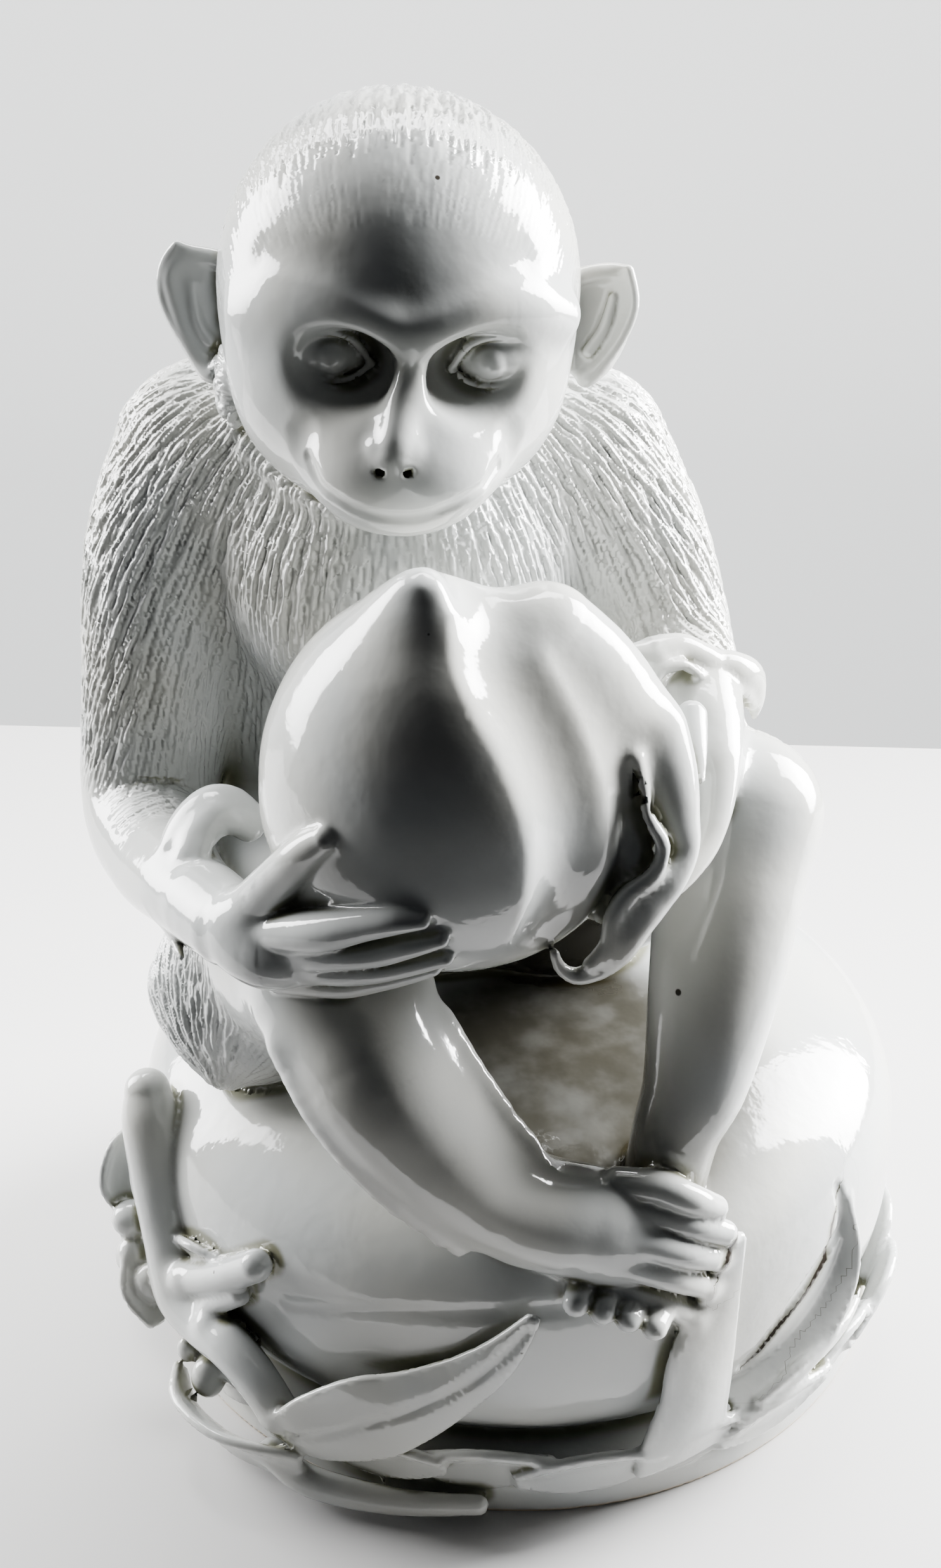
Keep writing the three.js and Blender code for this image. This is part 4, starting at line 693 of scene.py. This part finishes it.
def make_feet(clay):
    # upper foot: instep and five long toes
    clay.limb([[4, -88, 91, 12.5], [18, -88, 89, 12], [29, -85.5, 84, 9.5]])
    clay.ball([21, -86.5, 83], [17, 11.5, 13.5], 6, [0, 18, 0])
    toes = [
        [[24, -87.5, 99, 3.8], [32.9, -88.5, 98.6, 4], [40.7, -89.5, 95.8, 3.8], [47.2, -86, 90.4, 3.2]],
        [[23, -89, 93.5, 3.8], [31.8, -89.5, 92.2, 4], [41.4, -89.7, 88.7, 3.9], [49.7, -86.5, 83.3, 3.2]],
        [[22, -93, 89, 3.8], [30.3, -93.6, 86.6, 4], [39.7, -92.5, 82.6, 3.9], [47.8, -88, 76.9, 3.2]],
        [[21, -94.5, 82.5, 3.8], [29.1, -94.5, 80.1, 4], [38.1, -93, 75.5, 3.8], [45.7, -88.5, 68.8, 3.1]],
        [[20, -92, 74, 3.6], [28.6, -93, 71.2, 3.7], [35.5, -92.5, 67.2, 3.5], [42.8, -89.5, 60.5, 2.9]],
    ]
    for toe in toes:
        clay.limb(toe, 1)
    # lower foot: only its toe tips show
    for i in range(4):
        clay.limb([
            [18 + i * 6.4, -88, 74 - i * 2.6, 3.6], [14.5 + i * 6.2, -99.5, 73 - i * 2.4, 3.2],
        ], 1.2)


def add_coat(clay, lock_blend):
    for sculpt, blend in ((make_torso, 0), (make_arms, 10), (make_legs, 5), (make_locks, lock_blend)):
        clay.join(Clay(sculpt), blend)


def make_body(clay):
    add_coat(clay, 5)


def make_figure(clay):
    for sculpt, blend in (
        (make_fruit_base, 0), (make_garland, 1.5), (make_front_leaves, 1.5), (make_blossom, 1.5),
        (make_branch, 1.5), (make_body, 1.5), (make_head, 3), (make_ears, 2), (make_feet, 3),
        (make_held_peach, 1.2), (make_lower_hand, 1.5), (make_upper_hand, 1.5), (make_cuffs, 1.2),
    ):
        clay.join(Clay(sculpt), blend)
    # the dark slit between the foot and the leaf beside it
    clay.limb([[53.1, -88.5, 83.5, 0.8], [51.5, -89.5, 79.9, 1.4], [49, -91.5, 75.9, 0.8]], 0.8, "cut")
    # the soft crease round the big peach, and the firing crack at its right
    clay.press([
        [-54.5, -78.7, 54.2], [-37.6, -87.8, 60.7], [-19.3, -93.4, 64.7], [-2.8, -95.4, 66.6],
        [13.2, -95.5, 67.5],
    ], 3.5, 0.8)
    clay.press([
        [81.7, -55.3, 71.5], [83.2, -56.7, 61.7], [78.4, -62.9, 55.8], [69.3, -71.8, 47.3],
        [57.9, -78.3, 34.4],
    ], 2.6, 1.8)


# The surface is sliced by height until no piece has more triangles than this
PIECE_TRIANGLES = 150000

# Fur strokes: gap between them, half length, half width and depth, the broad locks first
STROKES = ((4.5, 8.0, 2.2, 0.5), (1.5, 4.4, 0.8, 0.5))

# Glaze colours, a crevice colour that is partly pooled glaze and partly painted shade, a near-black painted
# shade for the lap's hollow, and the few dark specks that show; places in metres in the frame of the mesh
GLAZE_WARM = (0.43, 0.43, 0.402)
GLAZE_COOL = (0.40, 0.413, 0.408)
# dark colour in crevices: partly glaze pooled thick there, partly painted shade
GLAZE_THICK_AND_SHADE = (0.15, 0.15, 0.10)
# painted shade: near-black colour in the lap's hollow, standing in for the shadow there
PAINTED_LAP_SHADE = (0.014, 0.012, 0.006)
BARE_CLAY = (0.55, 0.47, 0.36)
# dark specks and the crack's core; the same colour paints shade into the slit beside the foot
DARK_SPECK_AND_SHADE = (0.03, 0.025, 0.02)
LAP_SHADE_CENTRE = (0.012, -0.047, 0.098)
LAP_SHADE_RADIUS = 0.062
SPECKS = (((-0.0198, -0.0393, 0.3181), 0.0007), ((0.0342, -0.0804, 0.1438), 0.001))

# The firing crack, and the slit beside the foot whose dark colour is painted shade: points along each and
# half its width, in millimetres.
# A helper printed the points, from rays cast at the photo's pixels.
CRACK = (
    (82, -54, 70.4, 0.15), (80.9, -57.5, 67, 0.4), (80, -60.3, 63.9, 0.55), (78.8, -61.8, 54.4, 0.75),
    (73.5, -68, 48, 0.6), (66.7, -72.9, 42.5, 0.5), (61.7, -75.8, 36.4, 0.45), (57.6, -77.3, 33, 0.15),
)
SLIT = ((52.9, -87.2, 83, 0.2), (51, -88.9, 77.5, 1.4), (48.5, -89, 72.4, 0.2))

# The surface mesh
STEP = 1.35
BOX_LOW = np.array([-116, -128, -3.45])
BOX_HIGH = np.array([118, 118, 336])
CHUNK = 150000
CORNERS = [(i & 1, (i >> 1) & 1, (i >> 2) & 1) for i in range(8)]

# Blocks of cells are tried first; one is kept where its middle lies near the surface
COARSE, MEDIUM = 8, 2
HALF_DIAGONAL, SLACK = 0.87, 1.5
LARGE = 50

# Forms that guide the fur and the finer faces, and places in millimetres
FIGURE = Clay(make_figure)
HEAD = Clay(make_head)
EARS = Clay(make_ears)
COAT = Clay()
add_coat(COAT, 3)
NECK = np.array([[-27.0], [0], [262]])
MUZZLE = np.array([[-26.0], [-75], [262]])
HAUNCH_TIP = np.array([[-71.5], [-43.5], [94]])
HAUNCH = np.array([[-76.0], [-24], [112]])

# Faces are cut in four in the fur, at the ears, on the face and at the hand under the held peach
FINE_FUR = 0.15
FACE_FRONT, FACE_LOW = -15, 246
HAND_FRONT, HAND_LOW, HAND_RIGHT = -76, 145, -12


def values(p):
    out = np.empty(p.shape[1], np.float32)
    for s in range(0, p.shape[1], CHUNK):
        q = p[:, s:s + CHUNK]
        out[s:s + CHUNK] = np.maximum(FIGURE.value(q), -q[2])
    return out


def grow(flags, n):
    """The same flags on a lattice n times as fine."""
    return np.repeat(np.repeat(np.repeat(flags, n, 0), n, 1), n, 2)


def lattice(flags, low, step):
    return np.array(np.nonzero(flags), float) * step + np.array(low)[:, None]


def sample():
    """Values on a fine lattice, only near the surface; the rest keeps a large value of the right sign."""
    fine = np.ceil((BOX_HIGH - BOX_LOW) / STEP / COARSE).astype(int) * COARSE
    out = np.full(fine + 1, LARGE, np.float32)
    inside = np.ones(fine // COARSE, bool)
    for block in (COARSE, MEDIUM):
        size = block * STEP
        d = np.full(inside.shape, LARGE, np.float32)
        d[inside] = values(lattice(inside, BOX_LOW + size / 2, size))
        deep = grow(inside & (d < 0), block)
        out[:-1, :-1, :-1][deep] = -LARGE
        inside &= np.abs(d) < size * HALF_DIAGONAL * SLACK + 1
        if block == COARSE:
            inside = grow(inside, COARSE // MEDIUM)
    cells = grow(inside, MEDIUM)
    corners = np.zeros(fine + 1, bool)
    for a, b, c in CORNERS:
        corners[a:a + fine[0], b:b + fine[1], c:c + fine[2]] |= cells
    out[corners] = values(lattice(corners, BOX_LOW, STEP))
    return out, cells


def surface(field, cells):
    """Quads of the surface, one corner in each cell that the surface crosses."""
    shape = cells.shape
    low = field < 0
    count = np.zeros(shape, np.int8)
    for a, b, c in CORNERS:
        count += low[a:a + shape[0], b:b + shape[1], c:c + shape[2]]
    mixed = cells & (count > 0) & (count < 8)
    at = np.array(np.nonzero(mixed))
    corner = [np.array(c) for c in CORNERS]
    v = [field[tuple(at + c[:, None])] for c in corner]
    total = np.zeros(at.shape)
    hits = np.zeros(at.shape[1])
    for i in range(8):
        for bit in (1, 2, 4):
            j = i | bit
            if j == i:
                continue
            cross = (v[i] < 0) != (v[j] < 0)
            t = v[i] / np.where(cross, v[i] - v[j], 1)
            spot = corner[i][:, None] + t * (corner[j] - corner[i])[:, None]
            total += np.where(cross, spot, 0)
            hits += cross
    points = (at + total / hits) * STEP + BOX_LOW[:, None]
    index = np.full(shape, -1, np.int32)
    index[tuple(at)] = np.arange(at.shape[1])
    quads = []
    for axis in range(3):
        u, w = (axis + 1) % 3, (axis + 2) % 3
        a = [slice(1, n) for n in shape]
        b = list(a)
        a[axis], b[axis] = slice(0, shape[axis]), slice(1, shape[axis] + 1)
        start, end = low[tuple(a)], low[tuple(b)]
        spots = np.array(np.nonzero(start != end))
        if spots.size == 0:
            continue
        out = start[tuple(spots)]
        spots[u] += 1
        spots[w] += 1
        step_u, step_w = np.zeros((3, 1), int), np.zeros((3, 1), int)
        step_u[u], step_w[w] = 1, 1
        ring = [index[tuple(q)] for q in (spots - step_u - step_w, spots - step_w, spots, spots - step_u)]
        quad = np.array(ring).T
        quad[~out] = quad[~out][:, ::-1]
        quads.append(quad[(quad >= 0).all(1)])
    return points, np.concatenate(quads)


def settle(points, rounds=2, reach=0.3):
    """Moves the points onto the surface, and gives the direction out of it at each."""
    corners = np.array([[1, -1, -1], [-1, -1, 1], [-1, 1, -1], [1, 1, 1]]) * reach
    for _ in range(rounds):
        slope = np.zeros(points.shape)
        level = np.zeros(points.shape[1])
        for corner in corners:
            d = values(points + corner[:, None])
            slope += corner[:, None] * d
            level += d / 4
        slope /= 4 * reach * reach
        size = length(slope) + 1e-9
        points = points - slope / size * np.clip(level / np.maximum(size, 0.4), -0.8, 0.8)
    return points, slope / size


def length(v):
    return np.sqrt((v ** 2).sum(0))


def fade(value, low, high):
    t = np.clip((value - low) / (high - low), 0, 1)
    return t * t * (3 - 2 * t)


def unit(v):
    return v / (length(v) + 1e-9)


def fur_weight(p):
    """How much fur shows at each point, from 0 on bare skin to 1 on the coat."""
    x, y, z = p
    coat = 1 - fade(np.abs(COAT.value(p)), 0.8, 2)
    upper = fade(z, 158, 172) * (1 - fade(-y, 30, 42))
    back = fade(y, 5, 20) * fade(z, 92, 98)
    haunch = 1 - fade(length(p - HAUNCH), 27, 35)
    rx, ry, rz = (p[k] - HEAD_CENTRE[k] for k in range(3))
    skin = 1 - fade(np.abs(HEAD.value(p)), 0.6, 1.6)
    crown = np.maximum(0.75 * ry + 0.66 * rz - 5, ry - 8)
    hair = skin * np.maximum(fade(crown, 0, 7), 0.09 * fade(crown, -26, -8))
    return np.maximum(coat * np.maximum.reduce([upper, back, haunch]), hair)


def comb(p, n):
    """The way the fur lies: over the head from the face, down the body from the neck."""
    down = unit(p - NECK)
    down[2] -= 1.2
    head = fade(COAT.value(p) - HEAD.value(p), -1, 1)
    jaw = (1 - fade(p[1], 2, 8)) * (1 - fade(HEAD.value(p), 3, 6))
    head = np.maximum(head, jaw)
    haunch = 1 - fade(length(p - HAUNCH), 28, 36)
    flow = unit(down) * (1 - head) + unit(p - MUZZLE) * head
    flow = flow * (1 - haunch) + unit(HAUNCH_TIP - p) * haunch
    return unit(flow - n * (flow * n).sum(0))


def refine(points, normals, quads, chosen):
    """Cuts the chosen faces in four; a face beside them only takes up the new corners on its edges."""
    count = points.shape[1]
    ends = np.stack([quads, np.roll(quads, -1, 1)], 2)
    ends.sort(2)
    keys, edge = np.unique(ends[:, :, 0].astype(np.int64) * count + ends[:, :, 1], return_inverse=True)
    edge = edge.reshape(quads.shape)
    split = np.zeros(len(keys), bool)
    split[edge[chosen].ravel()] = True
    number = np.cumsum(split) - 1 + count
    pair = np.array([keys[split] // count, keys[split] % count])
    centre = count + pair.shape[1] + np.arange(chosen.sum())
    fresh = np.hstack([points[:, pair].mean(1), points[:, quads[chosen]].mean(2)])
    fresh, slopes = settle(fresh, 1)
    points, normals = np.hstack([points, fresh]), np.hstack([normals, slopes])
    middle = np.where(split[edge], number[edge], -1)
    loops, sizes = [], []
    q, m = quads[chosen], middle[chosen]
    for k in range(4):
        loops.append(np.column_stack([q[:, k], m[:, k], centre, m[:, k - 1]]).ravel())
        sizes.append(np.full(len(q), 4))
    q, m = quads[~chosen], middle[~chosen]
    ring = np.stack([q, m], 2).reshape(-1, 8)
    loops.append(ring[ring >= 0])
    sizes.append((ring >= 0).sum(1))
    return points, normals, np.concatenate(loops), np.concatenate(sizes)


def comb_strokes(points, normals):
    """Tapered strokes combed into the fur: a depth and a slope at each point."""
    weight = fur_weight(points)
    flow = comb(points, normals)
    side = np.cross(normals.T, flow.T).T
    level = np.zeros(points.shape[1])
    slope = np.zeros(points.shape)
    furry = np.flatnonzero(weight > 0.05)
    tree = KDTree(len(furry))
    for n, spot in enumerate(points[:, furry].T.tolist()):
        tree.insert(spot, n)
    tree.balance()
    rng = np.random.default_rng(5)
    for across, half, width, depth in STROKES:
        taken = np.zeros(points.shape[1], bool)
        for i in rng.permutation(furry).tolist():
            if taken[i]:
                continue
            reach = half * rng.uniform(0.7, 1.2)
            near = furry[[hit[1] for hit in tree.find_range(points[:, i].tolist(), reach + 0.5)]]
            gap = points[:, near] - points[:, i:i + 1]
            s = flow[:, i] @ gap
            t = side[:, i] @ gap + rng.uniform(-0.03, 0.03) * s * s
            taken[near[(t / across) ** 2 + (s / reach) ** 2 < 1]] = True
            taper = np.clip(1 - (s / reach) ** 2, 0, 1)
            w = width * (0.45 + 0.55 * taper)
            r = np.clip(t / w, -1, 1)
            bowl = 1 - r * r
            cut = depth * rng.uniform(0.6, 1.2) * weight[i] * np.sqrt(taper)
            level[near] -= cut * bowl * bowl
            slope[:, near] += side[:, i:i + 1] * (4 * cut * r * bowl / w)
    return level, slope


def beside(points, line):
    """How far each point lies to one side of a line on the surface, in half widths of the line."""
    line = np.array(line).T
    best = np.full(points.shape[1], 30.0)
    reach = best.copy()
    for a, b in zip(line.T[:-1], line.T[1:]):
        way = b[:3] - a[:3]
        t = np.clip(way @ (points - a[:3, None]) / (way @ way), 0, 1)
        gap = points - a[:3, None] - way[:, None] * t
        far = length(gap)
        across = np.cross(way, (0.45, -0.85, 0.2))
        signed = np.where(across @ gap < 0, -far, far) / (a[3] + (b[3] - a[3]) * t)
        nearer = far < reach
        reach = np.where(nearer, far, reach)
        best = np.where(nearer & (far < 9), signed, best)
    return best


def add_object(name, data):
    obj = bpy.data.objects.new(name, data)
    bpy.context.scene.collection.objects.link(obj)
    return obj


def piece(name, points, loops, sizes, normals, marks, material):
    used, loops = np.unique(loops, return_inverse=True)
    shift = np.array([[BASE_CENTRE[0]], [BASE_CENTRE[1]], [0]])
    spots = ((points[:, used] - shift) / 1000).T
    mesh = bpy.data.meshes.new(name)
    mesh.vertices.add(len(spots))
    mesh.vertices.foreach_set("co", spots.astype(np.float32).ravel())
    mesh.loops.add(loops.size)
    mesh.loops.foreach_set("vertex_index", loops.astype(np.int32).ravel())
    mesh.polygons.add(len(sizes))
    mesh.polygons.foreach_set("loop_start", (np.cumsum(sizes) - sizes).astype(np.int32))
    mesh.polygons.foreach_set("use_smooth", np.ones(len(sizes), bool))
    mesh.update(calc_edges=True)
    for key, mark in marks.items():
        mesh.attributes.new(key, "FLOAT", "POINT").data.foreach_set("value", mark[used].astype(np.float32))
    mesh.normals_split_custom_set_from_vertices(normals[:, used].T.astype(np.float32))
    obj = add_object(name, mesh)
    mesh.materials.append(material)
    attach(obj, "root")
    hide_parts("monkey_figure")


def set_inputs(node, **values):
    for name, value in values.items():
        node.inputs[name.replace("_", " ")].default_value = value


def new_material(name, **values):
    material = bpy.data.materials.new(name)
    material.use_nodes = True
    shader = material.node_tree.nodes["Principled BSDF"]
    set_inputs(shader, **values)
    return material, shader


def make_porcelain():
    material, shader = new_material("porcelain", IOR=1.52)
    nodes, links = material.node_tree.nodes, material.node_tree.links

    def add(kind, source=None, socket="Vector", **values):
        node = nodes.new("ShaderNode" + kind)
        set_inputs(node, **values)
        if source is not None:
            links.new(source, node.inputs[socket])
        return node

    place = add("TexCoord").outputs["Object"]

    def noise(scale, detail=2.0):
        return add("TexNoise", place, Scale=scale, Detail=detail).outputs["Fac"]

    def span(value, low, high, to_low=0.0, to_high=1.0):
        node = add("MapRange", value, "Value", From_Min=low, From_Max=high, To_Min=to_low, To_Max=to_high)
        node.interpolation_type = "SMOOTHSTEP"
        return node.outputs["Result"]

    def maths(operation, *sockets):
        node = add("Math")
        node.operation = operation
        for n, socket in enumerate(sockets):
            links.new(socket, node.inputs[n])
        return node.outputs[0]

    def times(a, b):
        return maths("MULTIPLY", a, b)

    def blend(factor, a, b):
        node = add("Mix")
        node.data_type = "RGBA"
        links.new(factor, node.inputs["Factor"])
        for value, name in ((a, "A"), (b, "B")):
            socket = [s for s in node.inputs if s.name == name and s.type == "RGBA"][0]
            if isinstance(value, tuple):
                socket.default_value = (*value, 1)
            else:
                links.new(value, socket)
        return [s for s in node.outputs if s.type == "RGBA"][0]

    def near(spot, radius):
        node = add("VectorMath", place, 0)
        node.operation = "DISTANCE"
        node.inputs[1].default_value = spot
        return span(node.outputs["Value"], radius * 0.6, radius, 1, 0)

    def mark(name):
        node = add("Attribute")
        node.attribute_name = name
        return node.outputs["Fac"]

    def inside(value, half, full):
        return span(maths("ABSOLUTE", value), half, full, 1, 0)

    # Hollows darken toward the thick glaze colour: partly glaze pooled there, partly painted shade where
    # the hollows lie in shadow
    pooled_glaze_and_shade = mark("crevice")
    colour = blend(span(noise(22), 0.35, 0.65), GLAZE_WARM, GLAZE_COOL)
    thick_glaze_and_shade = times(span(pooled_glaze_and_shade, 0.25, 0.9), span(noise(45, 3), 0.2, 0.6, 0.6, 1))
    colour = blend(thick_glaze_and_shade, colour, GLAZE_THICK_AND_SHADE)
    # Painted shade: the lap's hollow between the legs is painted near black where the shadow falls
    lap_shade = times(near(LAP_SHADE_CENTRE, LAP_SHADE_RADIUS), span(noise(60, 4), 0.25, 0.6, 0.9, 1))
    colour = blend(times(lap_shade, span(pooled_glaze_and_shade, 0.0, 0.4, 0.96, 1)), colour, PAINTED_LAP_SHADE)
    cells = add("TexVoronoi", place, Scale=55)
    pick = add("SeparateColor", cells.outputs["Color"], "Color")
    speck = times(span(cells.outputs["Distance"], 0.018, 0.03, 1, 0), span(pick.outputs["Red"], 0.72, 0.74))
    colour = blend(speck, colour, DARK_SPECK_AND_SHADE)
    # The firing crack is stained, with a dark core; the slit beside the foot gets the same dark colours as
    # painted shade in its recess
    for line in (mark("crack"), mark("slit")):
        stain_and_shade = times(inside(line, 0.8, 4), span(noise(150, 3), 0.3, 0.7, 0.5, 0.9))
        colour = blend(stain_and_shade, colour, GLAZE_THICK_AND_SHADE)
        colour = blend(inside(line, 0.7, 1.2), colour, DARK_SPECK_AND_SHADE)
    for spot, radius in SPECKS:
        colour = blend(near(spot, radius), colour, DARK_SPECK_AND_SHADE)
    height = add("SeparateXYZ", place)
    bare = span(height.outputs["Z"], 0.0006, 0.0016, 1, 0)
    colour = blend(bare, colour, BARE_CLAY)
    links.new(colour, shader.inputs["Base Color"])
    gloss = span(noise(70, 3), 0.3, 0.7, 0.05, 0.11)
    links.new(maths("MAXIMUM", gloss, times(bare, bare)), shader.inputs["Roughness"])
    bump = add("Bump", noise(130, 3), "Height", Strength=0.35, Distance=0.0006)
    links.new(bump.outputs["Normal"], shader.inputs["Normal"])
    return material


def area_light(name, place, target, size, power, spread):
    lamp = bpy.data.lights.new(name, "AREA")
    lamp.shape = "RECTANGLE"
    lamp.size, lamp.size_y = size
    lamp.energy = power
    lamp.spread = spread
    obj = add_object(name, lamp)
    place, target = Vector(place), Vector(target)
    obj.location = place
    obj.rotation_euler = (target - place).to_track_quat("-Z", "Y").to_euler()


def flat_panel(name, corners, material):
    mesh = bpy.data.meshes.new(name)
    mesh.from_pydata(corners, [], [(0, 1, 2, 3)])
    obj = add_object(name, mesh)
    mesh.materials.append(material)


field, cells = sample()
points, quads = surface(field, cells)
points, normals = settle(points)
x, y, z = points
fine = (fur_weight(points) > FINE_FUR) | (EARS.value(points) < 1)
fine |= (y < FACE_FRONT) & (z > FACE_LOW)
fine |= (y < HAND_FRONT) & (z > HAND_LOW) & (x < HAND_RIGHT)
chosen = fine[quads].any(1) & (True)
points, normals, loops, sizes = refine(points, normals, quads, chosen)
# distance to the crack, and to the slit, whose dark colour is painted shade
marks = {"crack": beside(points, CRACK), "slit": beside(points, SLIT)}
# how enclosed each point is; it darkens the glaze in hollows, as pooled glaze and as painted shade
marks["crevice"] = np.clip(1 - values(points + 3 * normals) / 3, 0, 1)
level, slope = comb_strokes(points, normals)
points = points + normals * level
normals = unit(normals - slope)
points[2] = np.maximum(points[2], 0)
porcelain = make_porcelain()
ends = np.cumsum(sizes)
height = np.add.reduceat(points[2, loops], ends - sizes) / sizes
order = np.argsort(height, kind="stable")
triangles = np.cumsum((sizes - 2)[order])
share = triangles[-1] // PIECE_TRIANGLES + 1
group = np.zeros(len(sizes), int)
group[order] = np.minimum(triangles * share // (triangles[-1] + 1), share - 1)
for n in range(share):
    mine = group == n
    piece(f"porcelain_{n}", points, loops[np.repeat(mine, sizes)], sizes[mine], normals, marks, porcelain)

# Table, wall and lights
table, _ = new_material("table_paint", Base_Color=(0.50, 0.495, 0.49, 1), Roughness=0.6)
wall, _ = new_material(
    "wall_paint", Base_Color=(0.8, 0.8, 0.8, 1), Roughness=0.9,
    Emission_Color=(0.98, 1, 1, 1), Emission_Strength=1.4,
)
flat_panel("table", [(-0.36, -0.2, 0), (0.36, -0.2, 0), (0.8, 0.272, 0), (-0.8, 0.358, 0)], table)
flat_panel("wall", [(-2, 0.6, -1), (2, 0.6, -1), (2, 0.6, 2.5), (-2, 0.6, 2.5)], wall)
area_light("left", (-0.78, 0.40, 0.44), (0, 0.02, 0.2), size=(0.6, 0.85), power=15, spread=1.4)
area_light("right", (0.78, 0.42, 0.46), (0, 0.02, 0.2), size=(0.6, 0.9), power=52, spread=1.4)
area_light("above", (0, 0.52, 0.95), (0, 0.12, 0), size=(0.9, 0.35), power=10, spread=1.6)
world = bpy.data.worlds.new("room")
bpy.context.scene.world = world
world.use_nodes = True
set_inputs(world.node_tree.nodes["Background"], Color=(0.9, 0.93, 1, 1), Strength=0.04)

# The camera as fitted to the photo: focal length in the photo's pixels, place and tilt
FOCAL_PIXELS = 3700
PHOTO_HEIGHT = 2473
SENSOR_HEIGHT = 24
CAMERA_PLACE = (-0.013, -0.523196, 0.443303)
CAMERA_TILT = 61
camera = bpy.data.cameras.new("camera")
camera.sensor_fit = "VERTICAL"
camera.sensor_height = SENSOR_HEIGHT
camera.lens = FOCAL_PIXELS / PHOTO_HEIGHT * SENSOR_HEIGHT
camera_object = add_object("camera", camera)
camera_object.location = CAMERA_PLACE
camera_object.rotation_euler = (math.radians(CAMERA_TILT), 0, 0)
bpy.context.scene.camera = camera_object
